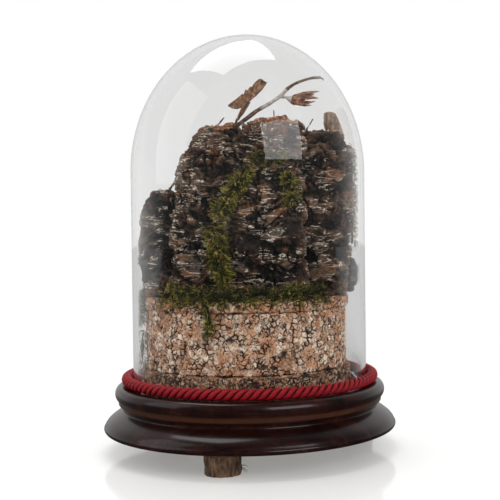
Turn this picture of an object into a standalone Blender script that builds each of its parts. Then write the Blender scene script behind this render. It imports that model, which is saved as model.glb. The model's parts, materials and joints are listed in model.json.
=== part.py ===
"""Bell jar dome: a glass dome on a turned wooden base, over a cliff of cork bark on a cork plinth.

The origin is on the surface that the feet stand on, on the axis of the base. +Z is up and -Y is the front.
The numbers below are millimetres, and MM turns them into metres where a shape is made.
"""
import math

import bmesh
import bpy
from mathutils import Matrix, Vector, noise

MM = 0.001
GAP = 0.3  # clearance between two pieces that touch on the real object

# Turned base
BASE_RADIUS = 100.0  # widest, low on the ogee
BASE_BOTTOM = 15.0
BASE_THICKNESS = 30.6
DECK = BASE_BOTTOM + BASE_THICKNESS
GROOVE_INNER_RADIUS = 76.0
GROOVE_OUTER_RADIUS = 81.0
GROOVE_FLOOR = DECK - 2.2
TURNED_STEPS = 56

# Glass dome
GLASS_RADIUS = 80.0
GLASS_WALL = 3.0
GLASS_FOOT = GROOVE_FLOOR + GAP
GLASS_TOP = 283.4
CROWN_HEIGHT = 94.0  # the crown is half an ellipsoid, taller than it is wide

# Cord ring
CORD_RADIUS = 3.75
CORD_RING_RADIUS = GLASS_RADIUS + 0.5 + CORD_RADIUS

# Feet and their screws
FOOT_RADIUS = 12.0
FOOT_CIRCLE_RADIUS = 79.0
FOOT_HEIGHT = BASE_BOTTOM - GAP
FOOT_AZIMUTHS = {"front": -103.0, "rear_right": 17.0, "rear_left": 137.0}
SCREW_SHANK_RADIUS = 1.9
SCREW_HEAD_RADIUS = 4.2
SCREW_TIP = 30.0
SCREW_CLEARANCE = 0.4

# Cork plinth, which stands a little left of the base's axis: each layer as (radius, thickness)
PLINTH_X = -2.5
PLINTH_LAYERS = {"cork_bottom_disc": (71.8, 12.5), "cork_drum": (68.5, 39.2), "cork_top_disc": (70.5, 7.4)}
PLINTH_TOP = DECK + sum(GAP + thickness for radius, thickness in PLINTH_LAYERS.values())
RISE = 1.02  # stretches the heights of the landscape, to fill the crown of the glass

# All heights from here on are above the plinth's top.
# Bark plates: level sections from bottom to top, each as (height, left x, right x, front y, back y)
BARK_PLATES = {
    "bark_left_slab": [
        (GAP, -70, -49.8, -26, 16),
        (24, -73, -49.5, -26, 14),
        (48, -72, -49.5, -27, 14),
        (61, -70, -49.5, -26, 12),
        (70, -64, -51, -22, 6),
    ],
    "bark_lower_left": [
        (GAP, -49, -14.8, -41, -4),
        (20, -49, -14.5, -45, -4),
        (43, -48.5, -13.5, -46, -4),
        (57.5, -47, -12.5, -44, -4),
    ],
    "bark_left_shoulder": [
        (58, -46, -12.2, -43, -4),
        (68, -45, -8.8, -46, -4),
        (84, -44, -8.6, -44, -4),
        (95, -41, -8.6, -41, -4),
        (104, -34, -8.4, -36, -4),
        (111, -28, -8.2, -31, -6),
    ],
    "bark_centre": [
        (GAP, -14, 34, -50, -4),
        (22, -13.5, 34.8, -55, -4),
        (56, -11.5, 35.0, -57, -4),
        (68, -8, 35.0, -56, -4),
        (90, -8, 35.0, -52, -4),
        (106, -7, 35.0, -46, -4),
        (113, 2, 33, -38, -6),
    ],
    "bark_right": [
        (GAP, 35.5, 63, -31, 24),
        (24, 35.5, 66, -33, 24),
        (48, 35.5, 68, -35, 22),
        (74, 35.5, 67.5, -35, 20),
        (95, 35.6, 67, -32, 18),
        (108, 36, 61, -26, 13),
    ],
    "bark_right_chip": [
        (95.5, 61, 70, 19, 24),
        (110, 57, 70, 19, 24.5),
        (120, 54, 66.5, 18.5, 24),
        (126, 55, 64, 19, 23),
    ],
    "bark_right_chunk": [
        (3, 67.5, 72, -4, 8),
        (10, 68.3, 75.6, -7, 10),
        (18, 68.6, 75.8, -7, 10),
        (24, 69, 72, -4, 6),
    ],
    "bark_rear_left": [
        (GAP, -47, -7.5, -3.2, 46),
        (38, -47, -7.5, -3.2, 48),
        (74, -44, -7.5, -3.2, 44),
        (98, -38, -8, -3.2, 34),
    ],
    "bark_rear_right": [
        (GAP, -6.8, 34.5, -3.2, 50),
        (38, -6.8, 34.5, -3.2, 52),
        (78, -6.8, 34.5, -3.2, 46),
        (106, -2, 30, -3.2, 32),
    ],
}
BARK_POINTS = 20  # around a section
BARK_SQUARENESS = 4.6  # superellipse exponent of a section
BARK_RELIEF = 2.4  # deepest hollow in a plate's side

# Moss: rolls along the plinth's rim as (azimuth from the front, at its start and its end)
MOSS_BANDS = {
    "moss_band_left": (-49.0, -23.0),
    "moss_band_middle": (-20.0, 13.0),
    "moss_band_right": (16.0, 46.0),
}
MOSS_BAND_RADIUS = 3.6
MOSS_BAND_CIRCLE = 66.8
# Moss elsewhere: rolls as (radius, points)
MOSS_ROLLS = {
    "moss_strip_upper": (3.0, [(-1, -60.2, 82), (-8, -60.4, 72), (-14, -58, 62), (-20, -54, 54)]),
    "moss_strip_lower": (3.0, [(-22, -51.5, 46), (-20, -52.5, 34), (-19, -53.5, 22), (-16, -57, 13)]),
    "moss_patch_middle": (2.6, [(24, -60, 78), (26, -60.5, 70), (27, -61, 62)]),
    "moss_patch_top": (2.4, [(6, -56, 91), (13, -56, 89), (20, -56, 88)]),
    "moss_right_side": (1.9, [(70.8, -8, 98), (71.0, -7, 78), (71.2, -8, 56), (71, -6, 32)]),
    "moss_dangle": (1.3, [(-30, -67.5, 4), (-27, -68.6, -4), (-25, -69.3, -12), (-26, -69, -20)]),
    "moss_left_upper": (1.5, [(-72, -21, 3), (-72.1, -20.6, -6), (-72.1, -20.6, -16)]),
    "moss_left_lower": (2.0, [(-71.6, -19, -22), (-71.6, -19, -32), (-71.6, -18.6, -42)]),
}

# Twig: tapered rolls as (first radius, last radius, points)
TWIG_ROLLS = {
    "twig_stem": (1.3, 0.8, [(-6, -20, 115), (2, -19, 119), (11, -18, 126), (19, -17, 132), (26, -16, 137),
                             (36, -15, 142.5), (45, -14, 145.5), (49.5, -14, 145.6), (52, -13.5, 143.8)]),
    "leaf_stalk": (0.7, 0.5, [(-8.3, -21, 115), (-6.6, -19, 119.5), (-5.4, -16.5, 123.5)]),
    "bark_splinter_left": (0.9, 0.4, [(-53, -12, 71), (-49.5, -13, 76), (-46.5, -14, 82.5)]),
    "bark_splinter_top": (0.9, 0.4, [(-21, -22, 112), (-18.5, -22, 115), (-16, -22, 117.5)]),
}
HUSK_BASE = (27.6, -16, 133.2)
HUSK_TIP = (48.0, -17, 129.5)
HUSK_PROFILE = [(0.0, 21.0), (3.0, 20.6), (3.4, 15.0), (3.6, 11.0), (2.4, 7.0), (1.0, 4.4), (0.8, 0.0), (0.0, 0.0)]

# Leaves: midrib points from base to tip, with the half width at each
DRY_LEAF = [((-13, -17, 125.5), 1.2), ((-9, -16.5, 127.5), 4.6), ((-4, -15.5, 131), 4.8), ((1, -14.5, 135.5), 4.2),
            ((6, -14, 139.5), 4.8), ((10.5, -13.5, 142.5), 3.8), ((13.5, -13.5, 144), 1.2)]
SMALL_LEAF = [((-1.5, -13, 114), 0.8), ((1, -12, 115.5), 2.2), ((3.5, -11.5, 116), 2.0), ((6.5, -11, 116), 0.6)]
LEAF_THICKNESS = 0.6
LEAF_FOLD = 0.5  # rise of the edges over the midrib, as a share of the half width


def remove_scene_objects():
    """Empties the scene that Blender starts with."""
    for item in list(bpy.data.objects):
        bpy.data.objects.remove(item, do_unlink=True)


def new_collection(name):
    """A collection linked to the scene."""
    collection = bpy.data.collections.new(name)
    bpy.context.scene.collection.children.link(collection)
    return collection


def material(name, colour, roughness, metallic=0.0):
    """A Principled material in one colour."""
    made = bpy.data.materials.new(name)
    made.use_nodes = True
    shader = made.node_tree.nodes["Principled BSDF"]
    shader.inputs["Base Color"].default_value = (*colour, 1.0)
    shader.inputs["Roughness"].default_value = roughness
    shader.inputs["Metallic"].default_value = metallic
    made.diffuse_color = (*colour, 1.0)
    return made


def add_mesh(name, mesh, surface, collection):
    """An object for a mesh, with its material."""
    made = bpy.data.objects.new(name, mesh)
    mesh.materials.append(surface)
    collection.objects.link(made)
    return made


def mesh_from(name, build):
    """A smooth mesh that build fills through a bmesh."""
    mesh = bpy.data.meshes.new(name)
    shape = bmesh.new()
    build(shape)
    shape.to_mesh(mesh)
    shape.free()
    return mesh


def smooth(mesh, angle=40.0):
    """Smooth shading with sharp edges kept."""
    mesh.shade_smooth()
    mesh.set_sharp_from_angle(angle=math.radians(angle))


def arc(centre, radii, start, end, count):
    """Points of an elliptic arc in a profile, with angles in degrees from the outward direction."""
    points = []
    for step in range(count + 1):
        angle = math.radians(start + (end - start) * step / count)
        points.append((centre[0] + radii[0] * math.cos(angle), centre[1] + radii[1] * math.sin(angle)))
    return points


def turned(name, profile, surface, collection, closed=False, steps=TURNED_STEPS):
    """A turned piece: a profile of (radius, height) down the outer side, screwed round the Z axis."""

    def build(shape):
        points = [shape.verts.new((radius * MM, 0.0, height * MM)) for radius, height in profile]
        for first, second in zip(points, points[1:]):
            shape.edges.new((first, second))
        if closed:
            shape.edges.new((points[-1], points[0]))

    made = add_mesh(name, mesh_from(name, build), surface, collection)
    screw = made.modifiers.new("Turn", "SCREW")
    screw.steps = steps
    screw.render_steps = steps
    screw.use_merge_vertices = True
    screw.merge_threshold = 0.00001
    screw.use_smooth_shade = True
    return made


def base_profile():
    """Section of the turned base, given as drops from its deck, down the outer side to its underside."""
    depth = DECK - GROOVE_FLOOR
    profile = [(0.0, 0.0), (GROOVE_INNER_RADIUS, 0.0), (GROOVE_INNER_RADIUS, -depth)]
    profile += [(GROOVE_OUTER_RADIUS, -depth), (GROOVE_OUTER_RADIUS, 0.0)]
    profile += arc((87.8, -5.3), (4.6, 5.3), 90, -45, 7)  # upper bead
    profile += [(90.3, -9.5), (90.1, -12.3)]  # fillet
    profile += [(89.1, -12.7), (87.9, -13.8), (87.3, -15.4), (87.4, -16.4)]  # cove
    profile += [(88.4, -17.1), (90.2, -18.2), (93.9, -20.7), (96.9, -23.1), (98.9, -25.6)]  # ogee
    profile += arc((97.6, -28.4), (BASE_RADIUS - 97.6, BASE_THICKNESS - 28.4), 30, -90, 5)  # lower edge
    profile += [(0.0, -BASE_THICKNESS)]
    return [(radius, DECK + drop) for radius, drop in profile]


def glass_profile():
    """Section of the glass dome: outer side down, round the foot and up the inner side."""
    crown_foot = GLASS_TOP - CROWN_HEIGHT
    inner_radius = GLASS_RADIUS - GLASS_WALL
    profile = arc((0.0, crown_foot), (GLASS_RADIUS, CROWN_HEIGHT), 90, 0, 12)
    profile += [(GLASS_RADIUS, 120.0)]
    profile += [(GLASS_RADIUS, GLASS_FOOT + 1.0), (GLASS_RADIUS - 0.8, GLASS_FOOT)]
    profile += [(inner_radius + 0.8, GLASS_FOOT), (inner_radius, GLASS_FOOT + 1.0)]
    profile += [(inner_radius, 120.0)]
    profile += arc((0.0, crown_foot), (inner_radius, CROWN_HEIGHT - GLASS_WALL), 0, 90, 12)
    profile[0] = (0.0, GLASS_TOP)
    profile[-1] = (0.0, GLASS_TOP - GLASS_WALL)
    return profile


def foot_profile():
    """Section of a foot: a stub with a countersunk hole from below, closed round the hole."""
    hole = SCREW_SHANK_RADIUS + SCREW_CLEARANCE
    mouth = SCREW_HEAD_RADIUS + SCREW_CLEARANCE
    profile = [(hole, FOOT_HEIGHT), (FOOT_RADIUS - 0.6, FOOT_HEIGHT), (FOOT_RADIUS, FOOT_HEIGHT - 0.6)]
    profile += [(FOOT_RADIUS, 0.7), (FOOT_RADIUS - 0.7, 0.0), (mouth, 0.0), (mouth, 2.4), (hole, 4.9)]
    return profile


def screw_profile():
    """Section of a countersunk wood screw, from its tip down to its head."""
    shank = SCREW_SHANK_RADIUS
    head = SCREW_HEAD_RADIUS
    return [(0.0, SCREW_TIP), (shank, SCREW_TIP - 5.0), (shank, 4.9), (head, 2.4), (head, 1.9), (0.0, 1.9)]


def cylinder_cutter(name, radius, bottom, top, place, cutters):
    """A round cutter that stands at a place."""
    mesh = mesh_from(name, lambda shape: bmesh.ops.create_cone(
        shape, cap_ends=True, segments=24, radius1=radius * MM, radius2=radius * MM, depth=(top - bottom) * MM))
    return place_cutter(name, mesh, (place[0], place[1], (top + bottom) / 2), cutters)


def place_cutter(name, mesh, place, cutters):
    """Puts a cutter in its collection, hidden from the render."""
    made = bpy.data.objects.new(name, mesh)
    made.location = Vector(place) * MM
    made.hide_render = True
    made.display_type = "WIRE"
    cutters.objects.link(made)
    return made


def cut(target, cutter):
    """Cuts one object from another with a Boolean modifier."""
    boolean = target.modifiers.new("Cut " + cutter.name, "BOOLEAN")
    boolean.operation = "DIFFERENCE"
    boolean.solver = "EXACT"
    boolean.object = cutter


def foot_place(azimuth):
    """Where a foot stands, as x and y."""
    angle = math.radians(azimuth)
    return FOOT_CIRCLE_RADIUS * math.cos(angle), FOOT_CIRCLE_RADIUS * math.sin(angle)


def add_feet(base, wood, steel, parts, cutters):
    """The three stub feet, each with its screw and the pilot hole above it."""
    slot = mesh_from("screw_slot", lambda shape: bmesh.ops.create_cube(
        shape, size=1.0, matrix=Matrix.Diagonal((9.0 * MM, 1.1 * MM, 1.2 * MM, 1.0))))
    for side, azimuth in FOOT_AZIMUTHS.items():
        x, y = foot_place(azimuth)
        foot = turned("foot_" + side, foot_profile(), wood, parts, closed=True, steps=24)
        foot.location = (x * MM, y * MM, 0.0)
        screw = turned("foot_screw_" + side, screw_profile(), steel, parts, steps=16)
        screw.location = foot.location
        cut(screw, place_cutter("slot_" + side, slot, (x, y, 1.9), cutters))
        pilot = SCREW_SHANK_RADIUS + SCREW_CLEARANCE
        cut(base, cylinder_cutter("pilot_" + side, pilot, BASE_BOTTOM - 5, SCREW_TIP + 1.5, (x, y), cutters))


def add_cord(surface, parts):
    """The cord ring, a plain torus in the cord's outer shape."""
    bpy.ops.mesh.primitive_torus_add(
        major_radius=CORD_RING_RADIUS * MM, minor_radius=CORD_RADIUS * MM, major_segments=64, minor_segments=10)
    made = bpy.context.object
    made.name = "trim_cord"
    made.location = (0.0, 0.0, (DECK + GAP + CORD_RADIUS) * MM)
    made.data.materials.append(surface)
    made.data.shade_smooth()
    for collection in list(made.users_collection):
        collection.objects.unlink(made)
    parts.objects.link(made)


def add_plinth(surface, parts):
    """The three cork layers, each a disc with softened edges."""
    top = DECK
    for name, (radius, thickness) in PLINTH_LAYERS.items():
        mesh = mesh_from(name, lambda shape: bmesh.ops.create_cone(
            shape, cap_ends=True, segments=48, radius1=radius * MM, radius2=radius * MM, depth=thickness * MM))
        made = add_mesh(name, mesh, surface, parts)
        top += GAP + thickness
        made.location = (PLINTH_X * MM, 0.0, (top - thickness / 2) * MM)
        bevel = made.modifiers.new("Soft edges", "BEVEL")
        bevel.width = 1.0 * MM
        bevel.segments = 2
        bevel.limit_method = "ANGLE"
        smooth(mesh)


def section_at(sections, height):
    """The section of a plate at a height, between two of its listed sections."""
    for lower, upper in zip(sections, sections[1:]):
        if height <= upper[0]:
            share = (height - lower[0]) / (upper[0] - lower[0])
            return [low + (high - low) * share for low, high in zip(lower, upper)]
    return list(sections[-1])


def bark_ring(section, inset, seed):
    """Points round a section: a superellipse, hollowed inwards by noise and drawn in by a share inset."""
    height, left, right, front, back = section
    middle = Vector(((left + right) / 2, (front + back) / 2, PLINTH_TOP + RISE * height))
    half = ((right - left) / 2, (back - front) / 2)
    points = []
    for step in range(BARK_POINTS):
        angle = 2 * math.pi * (step + 0.5) / BARK_POINTS
        cosine, sine = math.cos(angle), math.sin(angle)
        power = 2 / BARK_SQUARENESS
        outward = Vector((half[0] * math.copysign(abs(cosine) ** power, cosine),
                          half[1] * math.copysign(abs(sine) ** power, sine), 0.0))
        place = Vector((middle.x + outward.x, middle.y + outward.y, height * 1.8))
        hollow = BARK_RELIEF * (0.5 + 0.5 * noise.noise(place * 0.11 + Vector((seed, 0.0, 0.0))))
        hollow = min(hollow, 0.3 * min(half))
        points.append(middle + outward * (1.0 - inset) * (1.0 - hollow / outward.length))
    return points


def add_bark(surface, parts):
    """The bark plates, each lofted through its own sections with closed, softened ends."""
    for seed, (name, sections) in enumerate(BARK_PLATES.items()):
        bottom, top = sections[0][0], sections[-1][0]
        count = max(3, round((top - bottom) / 8.0))
        rings = [bark_ring(sections[0], 0.1, seed)]
        for step in range(count + 1):
            height = bottom + 0.8 + (top - bottom - 2.0) * step / count
            rings.append(bark_ring(section_at(sections, height), 0.0, seed))
        rings.append(bark_ring(sections[-1], 0.25, seed))
        add_mesh(name, loft_mesh(name, rings), surface, parts)


def loft_mesh(name, rings):
    """A closed mesh through rings of points in millimetres, with flat ends."""

    def build(shape):
        rows = [[shape.verts.new(point * MM) for point in ring] for ring in rings]
        count = len(rows[0])
        for lower, upper in zip(rows, rows[1:]):
            for step in range(count):
                after = (step + 1) % count
                shape.faces.new((lower[step], lower[after], upper[after], upper[step]))
        shape.faces.new(list(reversed(rows[0])))
        shape.faces.new(rows[-1])
        bmesh.ops.recalc_face_normals(shape, faces=shape.faces)

    mesh = mesh_from(name, build)
    smooth(mesh, 50.0)
    return mesh


def on_plinth(place):
    """A place in metres, from millimetres with the height above the plinth's top."""
    return Vector((place[0], place[1], PLINTH_TOP + RISE * place[2])) * MM


def add_roll(name, points, radii, surface, parts):
    """A roll along a line of points: a curve with a round bevel, closed at both ends."""
    data = bpy.data.curves.new(name, "CURVE")
    data.dimensions = "3D"
    data.bevel_depth = MM
    data.bevel_resolution = 2
    data.use_fill_caps = True
    spline = data.splines.new("POLY")
    spline.points.add(len(points) - 1)
    for index, place in enumerate(points):
        share = index / (len(points) - 1)
        spline.points[index].co = (*on_plinth(place), 1.0)
        spline.points[index].radius = radii[0] + (radii[1] - radii[0]) * share
    data.materials.append(surface)
    made = bpy.data.objects.new(name, data)
    parts.objects.link(made)
    return made


def add_moss(surface, parts):
    """The moss: bands along the plinth's front rim, and rolls on the bark and over the edge."""
    height = GAP + MOSS_BAND_RADIUS
    for name, (start, end) in MOSS_BANDS.items():
        points = []
        for step in range(7):
            angle = math.radians(start + (end - start) * step / 6)
            x = PLINTH_X + MOSS_BAND_CIRCLE * math.sin(angle)
            points.append((x, -MOSS_BAND_CIRCLE * math.cos(angle), height))
        add_roll(name, points, (MOSS_BAND_RADIUS, MOSS_BAND_RADIUS), surface, parts)
    for name, (radius, points) in MOSS_ROLLS.items():
        add_roll(name, points, (radius, radius), surface, parts)


def add_husk(surface, parts):
    """The dry seed husk on its short stalk, a turned shape laid along its own direction."""
    husk = turned("seed_husk", HUSK_PROFILE, surface, parts, steps=12)
    base, tip = on_plinth(HUSK_BASE), on_plinth(HUSK_TIP)
    husk.location = base
    husk.rotation_euler = (tip - base).to_track_quat("Z", "Y").to_euler()


def add_leaf(name, midrib, surface, parts):
    """A leaf: a strip folded along its midrib, given its thickness by Solidify."""

    def build(shape):
        rows = []
        for index, (place, half_width) in enumerate(midrib):
            before = Vector(midrib[max(index - 1, 0)][0])
            after = Vector(midrib[min(index + 1, len(midrib) - 1)][0])
            side = (after - before).cross(Vector((0.0, 1.0, 0.0))).normalized() * half_width
            rise = Vector((0.0, -LEAF_FOLD * half_width, 0.0))
            centre = Vector(place)
            line = (centre - side + rise, centre, centre + side + rise)
            rows.append([shape.verts.new(on_plinth(point)) for point in line])
        for lower, upper in zip(rows, rows[1:]):
            for step in (0, 1):
                shape.faces.new((lower[step], lower[step + 1], upper[step + 1], upper[step]))

    made = add_mesh(name, mesh_from(name, build), surface, parts)
    solidify = made.modifiers.new("Thickness", "SOLIDIFY")
    solidify.thickness = LEAF_THICKNESS * MM
    solidify.offset = 0.0
    made.data.shade_smooth()


def main():
    """Builds the whole object."""
    remove_scene_objects()
    parts = new_collection("bell_jar_dome")
    cutters = new_collection("cutters")

    walnut = material("lacquered_walnut", (0.055, 0.022, 0.014), 0.25)
    branch = material("branch_wood", (0.20, 0.13, 0.08), 0.85)
    steel = material("zinc_steel", (0.55, 0.55, 0.52), 0.35, 1.0)
    glass = material("clear_glass", (0.90, 0.94, 0.94), 0.03)
    cord = material("crimson_cord", (0.45, 0.01, 0.03), 0.45)
    cork = material("pressed_cork", (0.55, 0.38, 0.25), 0.85)
    bark = material("cork_bark", (0.13, 0.09, 0.07), 0.9)
    moss = material("green_moss", (0.16, 0.19, 0.04), 0.95)
    twig = material("dry_twig", (0.24, 0.17, 0.13), 0.8)
    leaf = material("dry_leaf", (0.30, 0.15, 0.08), 0.75)

    base = turned("turned_base", base_profile(), walnut, parts)
    add_feet(base, branch, steel, parts, cutters)
    turned("glass_dome", glass_profile(), glass, parts)
    add_cord(cord, parts)
    add_plinth(cork, parts)
    add_bark(bark, parts)
    add_moss(moss, parts)
    for name, (first, last, points) in TWIG_ROLLS.items():
        surface = bark if name.startswith("bark") else twig
        add_roll(name, points, (first, last), surface, parts)
    add_husk(leaf, parts)
    add_leaf("dry_leaf", DRY_LEAF, leaf, parts)
    add_leaf("small_leaf", SMALL_LEAF, leaf, parts)


main()
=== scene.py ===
# %% [markdown]
# # A glass dome over a woodland scene
# The object is a display dome: a turned wooden base on three stub feet, a twisted cord round the
# foot of a glass bell, and inside it a plinth of pressed cork that carries cork bark, moss and a
# dry twig. The imported model gives the true places and sizes, so it is loaded first as a frame, and
# every piece here is built round it.
# %% Load the frame
import json
import math
import random

import bpy
import numpy as np
from mathutils import Matrix, Vector, noise

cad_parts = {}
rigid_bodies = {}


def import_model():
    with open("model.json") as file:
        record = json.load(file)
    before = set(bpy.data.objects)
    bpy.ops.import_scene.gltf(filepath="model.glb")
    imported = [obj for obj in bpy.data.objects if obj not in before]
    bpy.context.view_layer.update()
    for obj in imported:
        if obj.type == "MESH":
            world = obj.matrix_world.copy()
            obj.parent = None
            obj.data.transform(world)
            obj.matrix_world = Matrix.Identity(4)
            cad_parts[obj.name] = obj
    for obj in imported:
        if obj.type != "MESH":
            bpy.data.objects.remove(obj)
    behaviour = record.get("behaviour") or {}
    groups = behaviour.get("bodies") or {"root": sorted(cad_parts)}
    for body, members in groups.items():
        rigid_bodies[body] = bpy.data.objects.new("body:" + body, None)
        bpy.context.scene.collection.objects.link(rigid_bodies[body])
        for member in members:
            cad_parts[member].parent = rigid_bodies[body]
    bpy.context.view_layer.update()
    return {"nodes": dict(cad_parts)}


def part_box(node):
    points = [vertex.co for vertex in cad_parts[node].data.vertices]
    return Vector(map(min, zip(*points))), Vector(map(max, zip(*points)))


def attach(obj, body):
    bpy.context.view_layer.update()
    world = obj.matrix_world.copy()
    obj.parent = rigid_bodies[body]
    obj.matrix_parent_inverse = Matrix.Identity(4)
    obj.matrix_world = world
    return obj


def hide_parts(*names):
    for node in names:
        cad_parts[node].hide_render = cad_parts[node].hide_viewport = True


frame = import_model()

MM = 0.001
scene = bpy.context.scene

# %% [markdown]
# The camera stands at table height, a little above the base, and looks slightly down, so the rim
# of the base is seen as a flat ellipse. It comes first, because all looks are judged through it.
# %% Camera
camera = bpy.data.objects.new("camera", bpy.data.cameras.new("camera"))
scene.collection.objects.link(camera)
turned_right = Matrix.Rotation(-0.070, 4, "Z")
tipped_down = Matrix.Rotation(math.pi / 2 - 0.0257, 4, "X")
rolled = Matrix.Rotation(-0.0102, 4, "Z")
camera.matrix_world = Matrix.Translation((0, -0.700, 0.1536)) @ turned_right @ tipped_down @ rolled
camera.data.lens = 72.673
camera.data.sensor_width = 36
camera.data.shift_x = -0.140
scene.camera = camera
scene.view_settings.view_transform = "Standard"

# %% [markdown]
# A node tree is easier to read as arithmetic. `Reading` wraps one output of a node, so that
# `1 - gap * 0.5` adds its Math nodes by itself, and `Bench` makes any other node from its type, its
# settings and its inputs. The same two classes serve finishes and Geometry Nodes.
# %% Readings and benches
class Reading:
    """One output of a node. Arithmetic on it adds Math nodes."""

    def __init__(self, bench, socket):
        self.bench, self.socket = bench, socket

    def maths(self, operation, *values):
        return self.bench.node("ShaderNodeMath", {"operation": operation}, values)

    def __add__(self, other):
        return self.maths("ADD", self, other)

    def __radd__(self, other):
        return self.maths("ADD", other, self)

    def __sub__(self, other):
        return self.maths("SUBTRACT", self, other)

    def __rsub__(self, other):
        return self.maths("SUBTRACT", other, self)

    def __mul__(self, other):
        return self.maths("MULTIPLY", self, other)

    def __rmul__(self, other):
        return self.maths("MULTIPLY", other, self)

    def __pow__(self, other):
        return self.maths("POWER", self, other)

    def __neg__(self):
        return self.maths("MULTIPLY", self, -1.0)

    def __abs__(self):
        return self.maths("ABSOLUTE", self)

    def root(self):
        return self.maths("SQRT", self)

    def cosine(self):
        return self.maths("COSINE", self)

    def sine(self):
        return self.maths("SINE", self)

    def highest(self, other):
        return self.maths("MAXIMUM", self, other)

    def out(self, name):
        """Another output of the same node."""
        return Reading(self.bench, pick(self.socket.node.outputs, name))


def pick(sockets, key):
    """A socket by its place, or by its name or identifier among those in use."""
    if isinstance(key, int):
        return sockets[key]
    return next(s for s in sockets if s.enabled and key in (s.name, s.identifier))


class Bench:
    """A node tree, with short ways to add the nodes used here."""

    def __init__(self, tree):
        self.tree = tree

    def node(self, kind, settings=None, inputs=(), output=0):
        made = self.tree.nodes.new(kind)
        for key, value in (settings or {}).items():
            if key == "stops":
                self.set_stops(made.color_ramp, value)
            else:
                setattr(made, key, value)
        for key, value in inputs.items() if isinstance(inputs, dict) else enumerate(inputs):
            for item in value if isinstance(value, list) else [value]:
                self.plug(pick(made.inputs, key), item)
        return Reading(self, pick(made.outputs, output)) if len(made.outputs) else made

    def plug(self, socket, value):
        if isinstance(value, Reading):
            self.tree.links.new(value.socket, socket)
        else:
            socket.default_value = value

    def set_stops(self, ramp, stops):
        while len(ramp.elements) < len(stops):
            ramp.elements.new(0.5)
        for element, (place, colour) in zip(ramp.elements, stops):
            element.position = place
            element.color = (*colour, 1.0)

    def scaled(self, at, by):
        """Coordinates stretched: a small number along an axis makes a pattern long that way."""
        return self.node("ShaderNodeVectorMath", {"operation": "MULTIPLY"}, (at, by))

    def moved(self, at, by):
        """Coordinates or places with a shift added."""
        return self.node("ShaderNodeVectorMath", {"operation": "ADD"}, (at, by))

    def times(self, vector, number):
        """A direction made `number` times as long."""
        return self.node("ShaderNodeVectorMath", {"operation": "SCALE"}, {"Vector": vector, "Scale": number})

    def noise(self, at, size, detail=3.0, rough=0.55, bend=0.0, seed=0.0):
        """Soft random values from 0 to 1, whose lumps are about `size` mm across."""
        moved = self.moved(at, (seed, seed * 0.7, -seed))
        return self.node(
            "ShaderNodeTexNoise", {"noise_dimensions": "3D"},
            {
                "Vector": moved, "Scale": 1 / (size * MM), "Detail": detail, "Roughness": rough,
                "Distortion": bend
            },
            "Fac" if self.tree.type == "SHADER" else 0
        )

    def cells(self, at, size, feature="F1", output="Distance"):
        """A pattern of cells about `size` mm across: their edges, or a colour for each."""
        return self.node(
            "ShaderNodeTexVoronoi", {"feature": feature}, {"Vector": at, "Scale": 1 / (size * MM)}, output
        )

    def rise(self, value, low, high):
        """0 below `low`, 1 above `high` and a smooth slope between."""
        limits = {"Value": value, "From Min": low, "From Max": high}
        return self.node("ShaderNodeMapRange", {"interpolation_type": "SMOOTHSTEP"}, limits, "Result")

    def axes(self, at):
        """The X, Y and Z of a place, as three readings."""
        split = self.node("ShaderNodeSeparateXYZ", {}, (at,))
        return split, split.out("Y"), split.out("Z")


# %% [markdown]
# A finish is a Principled surface whose colour, roughness and bump come from patterns in the
# object's own coordinates, so nothing slides when a piece moves.
# %% Finishes
class Finish(Bench):
    """A material with one Principled surface."""

    def __init__(self, name, roughness=0.6, **constants):
        self.material = bpy.data.materials.new(name)
        self.material.use_nodes = True
        super().__init__(self.material.node_tree)
        self.surface = self.tree.nodes["Principled BSDF"]
        self.surface.inputs["Roughness"].default_value = roughness
        for key, value in constants.items():
            self.surface.inputs[key.replace("_", " ")].default_value = value
        self.at = self.node("ShaderNodeTexCoord", {}, {}, "Object")

    def mark(self, name):
        """A number that the mesh keeps at each of its points."""
        return self.node("ShaderNodeAttribute", {"attribute_name": name}, {}, "Fac")

    def mix(self, factor, first, second, blend="MIX"):
        first, second = ((*c, 1.0) if isinstance(c, tuple) and len(c) == 3 else c for c in (first, second))
        inputs = {"Factor_Float": factor, "A_Color": first, "B_Color": second}
        return self.node("ShaderNodeMix", {"data_type": "RGBA", "blend_type": blend}, inputs, "Result_Color")

    def ramp(self, value, *stops):
        return self.node("ShaderNodeValToRGB", {"stops": stops}, (value,), "Color")

    def bump(self, height, depth):
        """Bump from a height of 0 to 1 that stands for `depth` mm."""
        inputs = {"Height": height, "Strength": 1.0, "Distance": depth * MM}
        self.plug(self.surface.inputs["Normal"], self.node("ShaderNodeBump", {}, inputs))

    def colour(self, value):
        self.plug(self.surface.inputs["Base Color"], value)

    def gloss(self, value):
        self.plug(self.surface.inputs["Roughness"], value)


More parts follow.
